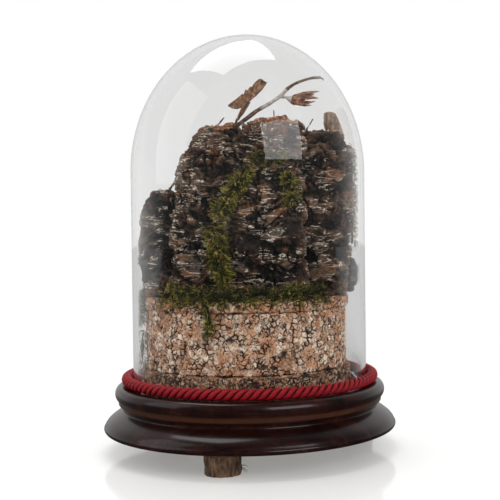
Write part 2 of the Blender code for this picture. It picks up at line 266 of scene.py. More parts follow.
# %% [markdown]
# Geometry Nodes need the same bench with named inputs. `Recipe` builds a tree whose inputs are
# sizes a maker would ask for. `cook` puts it on an object, sets each input by its identifier,
# turns the result into a plain mesh and takes the modifier away.
# %% Recipes
class Recipe(Bench):
    """A Geometry Nodes tree with named inputs."""

    KINDS = {
        float: "NodeSocketFloat", int: "NodeSocketInt", tuple: "NodeSocketVector", object: "NodeSocketObject"
    }

    def __init__(self, name, **sizes):
        super().__init__(bpy.data.node_groups.new(name, "GeometryNodeTree"))
        face = self.tree.interface
        face.new_socket("Geometry", in_out="OUTPUT", socket_type="NodeSocketGeometry")
        face.new_socket("Geometry", in_out="INPUT", socket_type="NodeSocketGeometry")
        for key, value in sizes.items():
            kind = object if value is None else type(value)
            made = face.new_socket(key.replace("_", " "), in_out="INPUT", socket_type=self.KINDS[kind])
            if value is not None:
                made.default_value = value
        self.given = self.tree.nodes.new("NodeGroupInput")
        self.result = self.tree.nodes.new("NodeGroupOutput")

    def size(self, name):
        return Reading(self, self.given.outputs[name])

    def keep(self, geometry, name, value, domain="POINT"):
        """The geometry with one more number kept on it, which a finish can read as a mark."""
        kinds = {"data_type": "FLOAT", "domain": domain}
        return self.node(
            "GeometryNodeStoreNamedAttribute", kinds, {"Geometry": geometry, "Name": name, "Value": value}
        )

    def serve(self, geometry):
        """Ends the tree: copies are made real, and the finish of the piece is set."""
        real = self.node("GeometryNodeRealizeInstances", {}, (geometry,))
        covered = self.node("GeometryNodeSetMaterial", {}, {"Geometry": real})
        self.coat = covered.socket.node.inputs["Material"]
        self.tree.links.new(covered.socket, self.result.inputs[0])


def plain_mesh(made):
    """The mesh that an object's modifiers make, with the modifiers taken away."""
    graph = bpy.context.evaluated_depsgraph_get()
    mesh = bpy.data.meshes.new_from_object(made.evaluated_get(graph), depsgraph=graph)
    made.modifiers.clear()
    return mesh


def cook(name, start, recipe, finish, **sizes):
    """The plain mesh that a recipe makes from an object, with every size set by its identifier."""
    recipe.coat.default_value = finish.material
    modifier = start.modifiers.new(recipe.tree.name, "NODES")
    modifier.node_group = recipe.tree
    for item in recipe.tree.interface.items_tree:
        key = item.name.replace(" ", "_")
        if item.in_out == "INPUT" and key in sizes:
            modifier[item.identifier] = sizes[key]
    mesh = plain_mesh(start)
    mesh.name = name
    return mesh


# %% [markdown]
# Small helpers: one that puts a mesh in the scene in place of the imported nodes it replaces, one
# that turns a profile round an axis, and one that makes a merged copy of a imported node to start from.
# %% Placing pieces
def place(name, mesh, finish, body="base", nodes=None, slot=None):
    """A finished piece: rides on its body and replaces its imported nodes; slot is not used."""
    if not len(mesh.materials):
        mesh.materials.append(finish.material)
    piece = bpy.data.objects.new(name, mesh)
    scene.collection.objects.link(piece)
    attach(piece, body)
    if nodes:
        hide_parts(*nodes)
    print(f"{name}: {len(mesh.polygons)} faces")
    return piece


def helper(name, mesh):
    made = bpy.data.objects.new(name, mesh)
    scene.collection.objects.link(made)
    return made


def mesh_of(name, points, faces, sharp=None, **marks):
    """A mesh from points in mm, smooth but for edges sharper than `sharp` degrees."""
    mesh = bpy.data.meshes.new(name)
    mesh.from_pydata((np.asarray(points, float) * MM).tolist(), [], [tuple(f) for f in faces])
    mesh.shade_smooth()
    for key, values in marks.items():
        mesh.attributes.new(key, "FLOAT", "POINT").data.foreach_set("value", np.asarray(values, np.float32))
    if sharp:
        mesh.set_sharp_from_angle(angle=math.radians(sharp))
    return mesh


def arc(centre, radii, start, end, count):
    turns = [math.radians(start + (end - start) * i / count) for i in range(count + 1)]
    return [(centre[0] + radii[0] * math.cos(t), centre[1] + radii[1] * math.sin(t)) for t in turns]


def turned(profile, steps, ring=False):
    """Points and faces of (radius, height) turned round the upright axis. A profile runs from the
    top down on the outside, with both ends on the axis unless it is a closed ring."""
    points, rows = [], []
    for radius, height in profile:
        if radius < 1e-6:
            rows.append([len(points)] * steps)
            points.append((0.0, 0.0, height))
            continue
        rows.append(list(range(len(points), len(points) + steps)))
        for i in range(steps):
            t = math.tau * i / steps
            points.append((radius * math.cos(t), radius * math.sin(t), height))
    faces = []
    for upper, lower in zip(rows, rows[1:] + (rows[:1] if ring else [])):
        for i in range(steps):
            corners = [upper[i], lower[i], lower[(i + 1) % steps], upper[(i + 1) % steps]]
            corners = [c for n, c in enumerate(corners) if c not in corners[:n]]
            if len(corners) > 2:
                faces.append(corners)
    return points, faces


def node_copy(node):
    """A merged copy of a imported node's mesh, as a helper to build on."""
    mesh = frame["nodes"][node].data.copy()
    mesh.materials.clear()
    made = helper("copy_" + node, mesh)
    weld = made.modifiers.new("weld", "WELD")
    weld.merge_threshold = 0.00001
    made.data = plain_mesh(made)
    return made


# %% [markdown]
# A pale floor with a faint mirror in it, like a lit sheet of glazed acrylic. The mirror is a fixed
# share, so it stays faint however flat the view is, and away from the object the sheet glows as
# white as the sky, so that no horizon shows. Near the object it glows faintly too, a painted glow
# that lightens the shadow under the base. Where glass or lacquer mirrors it, it is dim in
# front, as the dark room behind a camera is.
# %% Floor
floor_card = Finish("floor_card", 0.7, Emission_Strength=1.0)
floor_card.surface.inputs["Base Color"].default_value = (0.60, 0.60, 0.595, 1)
# Painted glow: this emission lights the floor near the object, which lightens the shadow under the base.
floor_card.surface.inputs["Emission Color"].default_value = (0.36, 0.355, 0.34, 1)
mirror = floor_card.node("ShaderNodeBsdfAnisotropic", {}, {"Color": (1, 1, 1, 1), "Roughness": 0.10})
glow = floor_card.node("ShaderNodeEmission", {}, {"Color": (1, 1, 1, 1), "Strength": 1.0}, "Emission")
share = floor_card.node(
    "ShaderNodeMixShader", {}, (0.26, Reading(floor_card, floor_card.surface.outputs[0]), mirror)
)
distance = floor_card.node("ShaderNodeVectorMath", {"operation": "LENGTH"}, (floor_card.at,), "Value")
sweep = floor_card.node("ShaderNodeMixShader", {}, (floor_card.rise(distance, 0.13, 0.42), share, glow))
mirrored_only = floor_card.node("ShaderNodeLightPath", {}, {}, "Is Glossy Ray")
unlit = floor_card.node("ShaderNodeEmission", {}, {"Color": (1, 1, 1, 1), "Strength": 0.0}, "Emission")
behind = floor_card.axes(floor_card.at)[1]
in_front = 0.94 - 0.55 * floor_card.rise(behind, -0.05, 0.50)
seen = floor_card.node("ShaderNodeMixShader", {}, (mirrored_only * in_front, sweep, unlit))
floor_card.plug(floor_card.tree.nodes["Material Output"].inputs["Surface"], seen)
FAR = 6000
floor_corners = [(-FAR, -FAR, 0), (FAR, -FAR, 0), (FAR, FAR, 0), (-FAR, FAR, 0)]
floor = helper("floor", mesh_of("floor", floor_corners, [(0, 1, 2, 3)]))
floor.data.materials.append(floor_card.material)

# %% [markdown]
# Studio light: a wide lamp overhead and a little behind gives the bright patch on the crown, a
# square one in front on the right gives the window-like patch on the glass, and a tall weak one on
# the left a soft upright band. The world is white where it is looked at and dim where it is
# mirrored from the front, like a dark room behind the camera, which keeps black things black.
# Light that is bent by the glass counts as mirrored too, so the bell looks grey from behind.
# %% Light
def softbox(name, azimuth, elevation, distance, width, height, brightness):
    """A lamp seen from the object at these angles: azimuth 0 is in front, positive to the right."""
    a, e = math.radians(azimuth), math.radians(elevation)
    aim = Vector((0, 0, 0.16))
    towards = Vector((math.sin(a) * math.cos(e), -math.cos(a) * math.cos(e), math.sin(e)))
    lamp = bpy.data.lights.new(name, "AREA")
    lamp.shape, lamp.size, lamp.size_y = "RECTANGLE", width, height
    lamp.energy = brightness * math.pi * width * height
    made = bpy.data.objects.new(name, lamp)
    made.matrix_world = Matrix.Translation(
        aim + towards * distance
    ) @ towards.to_track_quat("Z", "Y").to_matrix().to_4x4()
    made.visible_camera = False
    made.visible_transmission = False
    scene.collection.objects.link(made)


softbox("lamp_overhead", -150, 74, 1.30, 1.00, 0.80, 4.2)
softbox("lamp_front_right", 33.5, 22, 1.30, 0.84, 0.60, 4.0)
softbox("lamp_left", -80, 28, 1.40, 0.90, 1.30, 1.2)
softbox("lamp_behind", 170, 25, 1.60, 1.60, 0.80, 1.2)
bpy.data.objects["lamp_behind"].visible_glossy = False

world = bpy.data.worlds.new("studio")
world.use_nodes = True
scene.world = world
air = Bench(world.node_tree)
ray = air.node("ShaderNodeLightPath", {}, {}, "Is Camera Ray")
behind = air.axes(air.node("ShaderNodeTexCoord", {}, {}, "Generated"))[1]
mirrored = 0.05 + 0.65 * air.rise(behind, -0.15, 0.8)
lit = 0.85
brightness = lit + (ray + ray.out("Is Transmission Ray")) * (1.0 - lit) + ray.out("Is Glossy Ray") * (
    mirrored - lit
)
air.plug(world.node_tree.nodes["Background"].inputs["Strength"], brightness)
world.node_tree.nodes["Background"].inputs["Color"].default_value = (1, 1, 1, 1)
scene.cycles.caustics_refractive = False
scene.cycles.caustics_reflective = False

# %% [markdown]
# ## The turned base
# Dark stained wood under a warm lacquer. Its shape is one profile on a lathe: a groove for the
# glass, a half-round bead, a fillet, a tight cove and the long ogee slope that it stands out to.
# Turning a profile gives exact rings, so it is built that way, with many more steps than the
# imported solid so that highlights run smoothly.
# %% Profile of the base
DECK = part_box("turned_base")[1].z / MM
drops = [(0, 0), (40, 0), (75.6, 0), (76, -0.4), (76, -2.2), (81, -2.2), (81, -0.4), (81.4, 0)]
drops += arc((87.8, -5.3), (4.6, 5.3), 90, -45, 20) + [
    (90.8, -9.3), (90.3, -9.5), (90.1, -12.2), (89.9, -12.5)
]
drops += [
    (89.1, -12.7), (88.4, -13.2), (87.9, -13.8), (87.5, -14.5), (87.3, -15.4), (87.3, -16.0), (87.5, -16.5),
    (88.1, -17.0)
]
drops += [
    (89.3, -17.7), (90.6, -18.45), (92.3, -19.6), (94.0, -20.8), (95.6, -22.0), (97.0, -23.2), (98.1, -24.5),
    (98.9, -25.8)
]
drops += arc((97.6, -28.4), (2.4, 2.2), 42, -90, 20) + [(60, -30.6), (0, -30.6)]
base_profile = [(radius, DECK + drop) for radius, drop in drops]
print("base:", max(r for r, z in base_profile) * 2, "mm across")

# %% [markdown]
# The grain of one board runs from left to right. Noise that is very long along X gives fine
# lines in front and speckled end grain at the sides, just as a turned disc shows. A coat on top is
# the lacquer, and the fillet under the upper bead is worn paler.
# %% Lacquered walnut
walnut = Finish("lacquered_walnut", 0.36, Coat_Weight=0.4, Coat_Roughness=0.13, Specular_IOR_Level=0.15)
along_board = walnut.scaled(walnut.at, (0.05, 1.0, 1.0))
pores = walnut.noise(along_board, 0.9, 4, 0.65)
rings = walnut.noise(walnut.scaled(walnut.at, (0.03, 1.0, 0.7)), 7, 3, 0.5, 0.6)
stain = walnut.noise(walnut.at, 30, 2, 0.5, seed=0.3)
ribbon = walnut.noise(walnut.scaled(walnut.at, (1.0, 1.0, 0.12)), 2.6, 3, 0.6, seed=0.1)
depth = 0.30 * pores + 0.34 * rings + 0.2 * stain + 0.16 * ribbon
wood = walnut.ramp(depth, (0.36, (0.0020, 0.0003, 0.0002)), (0.47, (0.0080, 0.0014, 0.0010)),
                   (0.56, (0.0200, 0.0042, 0.0028)), (0.68, (0.062, 0.018, 0.011)))
up = walnut.axes(walnut.at)[2]
fillet = walnut.rise(up, 0.0315, 0.0332) * (1 - walnut.rise(up, 0.0360, 0.0378))
wood = walnut.mix(fillet * (0.3 + 0.6 * rings), wood, (0.060, 0.021, 0.009))
CHIPPED_PLACE = (0.0968, -0.0245, 0.0215)
far = walnut.node("ShaderNodeVectorMath", {"operation": "DISTANCE"}, (walnut.at, CHIPPED_PLACE), "Value")
chip = 1 - walnut.rise(far + walnut.noise(walnut.at, 1.2, 2) * 0.0016, 0.0018, 0.0021)
wood = walnut.mix(chip, wood, (0.55, 0.44, 0.33))
walnut.colour(wood)
walnut.gloss(0.27 + 0.16 * pores + 0.35 * chip)
walnut.bump(0.5 * pores + 0.5 * ribbon - chip, 0.05)

points, faces = turned(base_profile, 256)
place(
    "turned_base_lacquered", mesh_of("turned_base_lacquered", points, faces, 28), walnut, "base",
    ["turned_base"], "lacquered_walnut"
)

# %% [markdown]
# ## Feet and screws
# The feet are short stubs of a branch with their bark left on, screwed up from below. Each is
# turned as a ring with its screw hole, then its side is pushed in and out by noise that is long
# up and down, which gives the split look of bark. A few torn slivers stand off the front one.
# %% Branch wood
branch = Finish("branch_wood", 0.85)
fissure = branch.noise(branch.scaled(branch.at, (1.0, 1.0, 0.16)), 1.7, 4, 0.65, 0.4)
blotch = branch.noise(branch.at, 6, 3, 0.6)
bark_brown = branch.ramp(
    0.6 * fissure + 0.4 * blotch, (0.36, (0.018, 0.009, 0.005)), (0.47, (0.070, 0.037, 0.019)),
    (0.56, (0.15, 0.085, 0.046)), (0.68, (0.28, 0.18, 0.11))
)
branch.colour(bark_brown)
branch.bump(fissure, 0.5)

# %% Shape of a foot
FOOT_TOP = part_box("foot_front")[1].z / MM
foot_profile = [(2.3, FOOT_TOP), (7, FOOT_TOP), (11.4, FOOT_TOP)] + [
    (11.7, FOOT_TOP * (1 - i / 16)) for i in range(1, 15)
]
foot_profile += [(11.5, 0.3), (11.1, 0), (8, 0), (4.6, 0), (4.6, 2.4), (2.3, 4.9)]


# Torn slivers on the front foot: root, tip, width and bend
SLIVERS = [
    ((-6.6, -79, 5.2), (-2.2, -80, 4.6), 1.1, (0, 0, 0.7)),
    ((-6.4, -80, 4.2), (-2.6, -82, 2.2), 1.2, (0, -0.4, 0.6)),
    ((-6.5, -78, 3.0), (-3.4, -80, 1.0), 1.0, (0, 0, 0.4)),
    ((-6.8, -81, 6.0), (-3.6, -82, 6.4), 0.9, (0, 0, -0.3)),
]


def sliver(root, tip, width, bend):
    """A torn strip of bark: four sides that taper to a point."""
    root, tip = Vector(root), Vector(tip)
    points, faces = [], []
    for i in range(6):
        t = i / 5
        middle = root.lerp(tip, t) + Vector(bend) * math.sin(math.pi * t)
        w = width * (1 - 0.8 * t)
        points += [
            middle + Vector(o) * w for o in ((0.5, 0, 0), (0, 0.25, 0.2), (-0.5, 0, 0.1), (0, -0.25, -0.2))
        ]
    for i in range(5):
        for j in range(4):
            faces.append((4 * i + j, 4 * i + (j + 1) % 4, 4 * i + 4 + (j + 1) % 4, 4 * i + 4 + j))
    return points, faces + [(3, 2, 1, 0), (20, 21, 22, 23)]


for name in ("front", "rear_right", "rear_left"):
    low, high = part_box("foot_" + name)
    centre = (low + high) / 2 / MM
    points, faces = turned(foot_profile, 120, ring=True)
    shaped = []
    for x, y, z in points:
        radius = math.hypot(x, y)
        if radius > 10:
            spot = Vector((x * 0.42 + centre.x, y * 0.42, z * 0.10))
            push = 0.9 * noise.fractal(spot, 0.8, 2.1, 4) + 0.35 * noise.noise(spot * 4.1)
            push = min(push - 0.35, 0.25) * (0.4 + 0.6 * min(1, (FOOT_TOP - z) / 2))
            x, y = x * (1 + push / radius), y * (1 + push / radius)
        shaped.append((x + centre.x, y + centre.y, z))
    if name == "front":
        for torn in SLIVERS:
            extra, sides = sliver(*torn)
            faces += [[c + len(shaped) for c in side] for side in sides]
            shaped += [tuple(p) for p in extra]
    place(
        "foot_stub_" + name, mesh_of("foot_stub_" + name, shaped, faces, 50), branch, "base",
        ["foot_" + name], "branch_wood"
    )

# %% [markdown]
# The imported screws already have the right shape, so they stay and only get zinc-plated steel,
# slightly blotched and brushed by the driver.
# %% Zinc steel
zinc = Finish("zinc_steel", 0.35, Metallic=1.0)
haze = zinc.noise(zinc.at, 1.4, 4, 0.6)
zinc.colour(zinc.mix(haze, (0.42, 0.42, 0.44), (0.66, 0.66, 0.68)))
zinc.gloss(0.25 + 0.3 * haze)
zinc.bump(haze, 0.03)
for name, node in frame["nodes"].items():
    if name.startswith("foot_screw"):
        node.data.materials.clear()
        node.data.materials.append(zinc.material)

# %% [markdown]
# ## The trim cord
# A crimson cord of three plies is glued round the foot of the glass. Each ply is a rope of many
# fine satin yarns. A circle is the path; each ply winds round it as a helix, and a fluted ring is
# swept along it, so the yarns are real ridges. The number of turns round the ring is a whole
# number, which closes the cord without a seam.
# %% Recipe for a twisted cord
CORD_RING, CORD_HEIGHT, YARNS = 0.08425, 0.04965, 9
twist = Recipe(
    "twisted_cord", Ring_radius=CORD_RING, Height=CORD_HEIGHT, Lay_radius=0.00201, Ply_radius=0.00174,
    Turns=34.0, Yarns=YARNS
)
circle = twist.node(
    "GeometryNodeCurvePrimitiveCircle", {"mode": "RADIUS"},
    {"Resolution": 1020, "Radius": twist.size("Ring radius")}, "Curve"
)
part_way = twist.node("GeometryNodeSplineParameter", {}, {}, "Factor")
ring_place = twist.node("GeometryNodeInputPosition")
outward = twist.node("ShaderNodeVectorMath", {"operation": "NORMALIZE"}, (ring_place,))
plies = []
for ply in range(3):
    angle = part_way * twist.size("Turns") * math.tau + ply * math.tau / 3
    lift = twist.size("Lay radius") * angle.sine() + twist.size("Height")
    shift = twist.times(outward, twist.size("Lay radius") * angle.cosine())
    wound = twist.moved(shift, twist.node("ShaderNodeCombineXYZ", {}, {"Z": lift}))
    helix = twist.node("GeometryNodeSetPosition", {}, {"Geometry": circle, "Offset": wound})
    marked = twist.keep(helix, "along", part_way)
    plies.append(twist.node("GeometryNodeSetCurveNormal", {"mode": "Z_UP"}, {"Curve": marked}))
section = twist.node(
    "GeometryNodeCurvePrimitiveCircle", {"mode": "RADIUS"},
    {"Resolution": 27, "Radius": twist.size("Ply radius")}, "Curve"
)
round_way = twist.node("GeometryNodeSplineParameter", {}, {}, "Factor")
flute = (round_way * twist.size("Yarns") * math.tau).cosine()
pulled = twist.times(twist.node("GeometryNodeInputPosition"), flute * 0.045 - 0.045)
fluted = twist.node("GeometryNodeSetPosition", {}, {"Geometry": section, "Offset": pulled})
fluted = twist.keep(fluted, "round", round_way)
swept = [twist.node("GeometryNodeCurveToMesh", {}, {"Curve": ply, "Profile Curve": fluted}) for ply in plies]
cord_mesh = twist.node("GeometryNodeJoinGeometry", {}, {"Geometry": swept})
twist.serve(twist.node("GeometryNodeSetShadeSmooth", {}, {"Geometry": cord_mesh}))

# %% Crimson satin
crimson = Finish("crimson_satin", 0.42, Specular_IOR_Level=0.22)
# Painted shade: the yarn stripes go dark between the yarns, as if the grooves lay in shadow; the same stripes
# also raise the yarn ridges in the bump.
yarn_ridge_and_painted_shade = 0.5 + 0.5 * ((crimson.mark("round") * YARNS + crimson.mark("along") * 640) * math.tau).cosine()
fibre = crimson.noise(crimson.at, 0.5, 3, 0.7)
dye = crimson.noise(crimson.at, 12, 2, 0.5)
red = crimson.mix(0.35 * fibre + 0.65 * yarn_ridge_and_painted_shade, (0.040, 0.0002, 0.0012), (0.46, 0.0035, 0.014))
red = crimson.mix(dye * 0.4, red, (0.15, 0.0012, 0.005))
# Painted shade: near the middle line of the cord, in the gaps between the plies, the colour goes near-black
# as if in shadow.
x, y, z = crimson.axes(crimson.at)
from_axis = ((x * x + y * y).root() - CORD_RING) ** 2 + (z - CORD_HEIGHT) ** 2
crest_outside_painted_shade = crimson.rise(from_axis.root(), 0.0023, 0.0034)
crimson.colour(crimson.mix(crest_outside_painted_shade, (0.004, 0.0001, 0.0002), red))
crimson.gloss(0.34 + 0.3 * fibre)
crimson.bump(0.7 * yarn_ridge_and_painted_shade + 0.3 * fibre, 0.16)
seed_point = helper("cord_start", mesh_of("cord_start", [(0, 0, 0)], []))
cord = cook("trim_cord_twisted", seed_point, twist, crimson)
place("trim_cord_twisted", cord, crimson, "base", ["trim_cord"], "crimson_cord")
bpy.data.objects.remove(seed_point)

# %% [markdown]
# ## The glass bell
# Blown glass with a wall of 3 mm: a straight tube that ends in a tall rounded crown, with a ground and
# fire-polished foot. Both faces of the wall are modelled, so the edge shows the thin double line
# of real glass. Shadow rays and scattered light pass straight through, because light bent by the
# wall would otherwise take very long to find the moss inside.
# %% Glass
FOOT, CROWN = (v.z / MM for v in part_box("glass_dome"))
OUTER, WALL = 80.0, 3.0
CROWN_HEIGHT = 94.0
spring = CROWN - CROWN_HEIGHT
glass_profile = arc((0, spring), (OUTER, CROWN_HEIGHT), 90, 0, 64)
glass_profile += [(OUTER, FOOT + (spring - FOOT) * (1 - i / 12)) for i in range(1, 12)] + [
    (OUTER, FOOT + 1.4)
]
glass_profile += arc((OUTER - 1.5, FOOT + 1.4), (1.5, 1.4), -15, -165, 8) + [(OUTER - WALL, FOOT + 1.4)]
glass_profile += [(OUTER - WALL, FOOT + (spring - FOOT) * i / 12) for i in range(1, 12)]
glass_profile += arc((0, spring), (OUTER - WALL, CROWN_HEIGHT - WALL), 0, 90, 64)
glass_profile[0], glass_profile[-1] = (0, CROWN), (0, CROWN - WALL)

glass = Finish("clear_glass", 0.0, Transmission_Weight=1.0, IOR=1.45)
glass.surface.inputs["Base Color"].default_value = (0.985, 0.988, 0.983, 1)
light = glass.node("ShaderNodeLightPath", {}, {}, "Is Shadow Ray")
clear = glass.node("ShaderNodeBsdfTransparent", {}, {"Color": (0.96, 0.965, 0.96, 1)})
scattered = glass.node(
    "ShaderNodeMixShader", {}, (light.out("Is Diffuse Ray"), Reading(glass, glass.surface.outputs[0]), clear)
)
both = glass.node("ShaderNodeMixShader", {}, (light, scattered, clear))
glass.plug(glass.tree.nodes["Material Output"].inputs["Surface"], both)
points, faces = turned(glass_profile, 192)
place(
    "glass_dome_blown", mesh_of("glass_dome_blown", points, faces, 60), glass, "dome", ["glass_dome"],
    "clear_glass"
)

# %% [markdown]
# ## The cork plinth
# Pressed cork is granules of about 3 mm glued together: flat where it was cut, with dark open gaps
# between granules. One cell pattern does all of it. In Geometry Nodes it sinks the gaps and lifts
# each granule a little; in the finish the same pattern, at the same place, colours them.
# %% Granule pattern
def wobble(bench, at):
    return bench.node("ShaderNodeTexNoise", {}, {"Vector": at, "Scale": 380.0, "Detail": 2.0}, "Color")


def granules(bench, at, size=3.3):
    """For each place: how deep in a gap it is, and a number from 0 to 1 for its granule."""
    bent = bench.moved(at, bench.scaled(wobble(bench, at), (0.0016, 0.0016, 0.0016)))
    edge = bench.cells(bent, size, "DISTANCE_TO_EDGE")
    own = bench.cells(bent, size, "F1", "Color")
    red, green, blue = bench.axes(own)
    open_here = bench.rise(bench.noise(at, 5.5, 3, 0.6, seed=0.2), 0.34, 0.62)
    gap = (1 - bench.rise(edge, 0.02 + 0.06 * open_here, 0.04 + 0.16 * open_here)) * (0.12 + 0.88 * open_here)
    lost = bench.rise(green, 0.90, 0.93) * open_here
    return gap.highest(lost), red, blue


crumble = Recipe("crumbled_cork", Gap_depth=0.0011, Lift=0.00045)
where = crumble.node("GeometryNodeInputPosition")
gap, own_a, own_b = granules(crumble, where)
lumps = crumble.noise(where, 14, 2, 0.5, seed=0.6)
push = own_a * crumble.size("Lift") - gap * crumble.size("Gap depth") + (lumps - 0.62) * 0.0012
normal = crumble.node("GeometryNodeInputNormal")
crumbled = {"Geometry": crumble.size("Geometry"), "Offset": crumble.times(normal, push)}
crumble.serve(crumble.node("GeometryNodeSetPosition", {}, crumbled))


# %% [markdown]
# The drum is pale, with pinkish and orange-brown granules in patches; the bottom disc is darker
# and the top one warmer. All three are one finish with different numbers.
# %% Pressed cork
def pressed_cork(name, dark, orange, dust):
    cork = Finish(name, 0.9)
    gap, own_a, own_b = granules(cork, cork.at)
    patch = cork.noise(cork.at, 16, 3, 0.55, seed=0.9)
    fine = cork.noise(cork.at, 1.1, 4, 0.7)
    tone = 0.30 * own_a + 0.34 * fine + 0.50 * patch - dark
    body = cork.ramp(
        tone, (0.20, (0.10, 0.036, 0.016)), (0.38, (0.33, 0.17, 0.095)), (0.54, (0.52, 0.34, 0.235)),
        (0.80, (0.86, 0.70, 0.56))
    )
    rust = cork.rise(cork.noise(cork.at, 12, 3, 0.6, seed=1.7) + 0.30 * own_b, 0.66 - orange, 0.80 - orange)
    body = cork.mix(rust * 0.7, body, (0.46, 0.19, 0.075))
    crumbs = cork.rise(cork.noise(cork.at, 0.8, 3, 0.6, seed=2.1), 0.62, 0.68)
    body = cork.mix(crumbs * dust, body, (0.86, 0.74, 0.60))
    specks = cork.rise(
        cork.noise(cork.at, 1.35, 3, 0.62, 0.6, seed=3.3) + 0.10 * (patch - 0.5) + dark * 0.35, 0.560, 0.595
    )
    body = cork.mix(specks * 0.92, body, (0.022, 0.008, 0.004))
    cork.colour(cork.mix(gap, body, (0.014, 0.006, 0.004)))
    cork.bump(fine * 0.5 + 0.5 * (1 - gap), 0.5)
    return cork


# %% Shape of the plinth
def crumbly_disc(name, node, finish, soft):
    """A disc cut from pressed cork, with even small faces on its side and a worn rim."""
    low, high = (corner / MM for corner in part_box(node))
    radius, middle = (high.x - low.x) / 2, (low.x + high.x) / 2
    rows = max(4, round((high.z - low.z - 2 * soft) / 0.7))
    rings = [radius * i / 60 for i in range(1, 60)]
    rim_high = [
        (radius - soft + soft * math.sin(t), high.z - soft + soft * math.cos(t)) for t in (0, 0.5, 1.05, 1.57)
    ]
    rim_low = [(r, low.z + high.z - z) for r, z in reversed(rim_high)]
    side = [(radius, rim_high[-1][1] + (rim_low[0][1] - rim_high[-1][1]) * i / rows) for i in range(1, rows)]
    profile = [(0, high.z)] + [
        (r, high.z) for r in rings if r < radius - soft - 0.5
    ] + rim_high + side + rim_low
    profile += [(radius * 0.6, low.z), (0, low.z)]
    points, faces = turned(profile, 620)
    points = [(x * 0.998 + middle, y * 0.998, z) for x, y, z in points]
    start = helper(name + "_start", mesh_of(name, points, faces))
    made = cook(name, start, crumble, finish)
    bpy.data.objects.remove(start)
    place(name, made, finish, "base", [node], "pressed_cork")


cork_pale = pressed_cork("pressed_cork_pale", 0.0, 0.06, 0.5)
cork_dark = pressed_cork("pressed_cork_dark", 0.16, 0.02, 0.75)
cork_warm = pressed_cork("pressed_cork_warm", 0.06, 0.10, 0.6)
crumbly_disc("plinth_bottom_disc", "cork_bottom_disc", cork_dark, 0.9)
crumbly_disc("plinth_drum", "cork_drum", cork_pale, 0.6)
crumbly_disc("plinth_top_disc", "cork_top_disc", cork_warm, 1.6)

# %% [markdown]
# ## Cork bark
# Virgin cork bark is the most rugged thing here: thick plates with wavy ridges that run across,
# deep cracks, and pale lichen on the crests. Each packed plate is remeshed into even small faces,
# and Geometry Nodes weather it: a slow swell, ridges from noise that is long across and short
# up and down, cracks from cells, and crumbs. The ridge height is kept on the mesh, so the finish
# can darken the furrows to near-black, partly darker bark and partly painted shade, and put lichen
# on the crests.
# %% Recipe for weathered bark
weather = Recipe("weathered_bark", Swell=0.0035, Ridge=0.0040, Crack=0.0030, Crumb=0.0010, Shift=0.0)
where = weather.node("GeometryNodeInputPosition")
start_shift = weather.node(
    "ShaderNodeCombineXYZ", {}, {"X": weather.size("Shift"), "Y": weather.size("Shift")}
)
shifted = weather.moved(where, start_shift)
x, y, z = weather.axes(shifted)
sway = (weather.noise(shifted, 26, 2, 0.5) - 0.5) * 0.022 + (
    weather.noise(shifted, 8, 2, 0.5, seed=0.4) - 0.5
) * 0.006
wavy = weather.node("ShaderNodeCombineXYZ", {}, {"X": x * 0.30, "Y": y * 0.30, "Z": z + sway})
swell = weather.noise(shifted, 24, 2, 0.5, seed=0.8) - 0.5
layers = weather.noise(wavy, 3.4, 5, 0.66, 0.3)
steps = weather.noise(weather.scaled(wavy, (1.0, 1.0, 0.6)), 6.0, 3, 0.6, seed=1.3)
crease = weather.noise(weather.scaled(wavy, (2.4, 2.4, 0.7)), 11, 3, 0.6, 0.4, seed=2.2)
crack = 1 - weather.rise(abs(crease - 0.5), 0.0, 0.035)
crumbs = weather.noise(shifted, 1.7, 4, 0.7, seed=0.5) - 0.5
sharp = 1 - abs((layers - 0.5) * 4.6)
ridge = 0.75 * sharp + 0.8 * (weather.rise(steps, 0.40, 0.60) - 0.5)
height = swell * weather.size("Swell") * 2 + (
    ridge - 0.30
) * weather.size("Ridge") - crack * weather.size("Crack") + crumbs * weather.size("Crumb") * 2 + 0.0006
facing = weather.node("GeometryNodeInputNormal")
upright = weather.axes(facing)[2]
jagged = weather.noise(shifted, 5.0, 4, 0.7, seed=3.0) - 0.5
height = height - weather.rise(upright, 0.2, 0.8) * (0.0012 - jagged * 0.006)
relief = weather.rise(ridge - crack * 0.8 + crumbs * 1.3, -0.70, 1.0)
kept = weather.keep(weather.size("Geometry"), "relief", relief)
kept = weather.keep(kept, "upward", upright)
weathered = weather.node(
    "GeometryNodeSetPosition", {}, {"Geometry": kept, "Offset": weather.times(facing, height)}
)
weather.serve(weather.node("GeometryNodeSetShadeSmooth", {}, {"Geometry": weathered}))


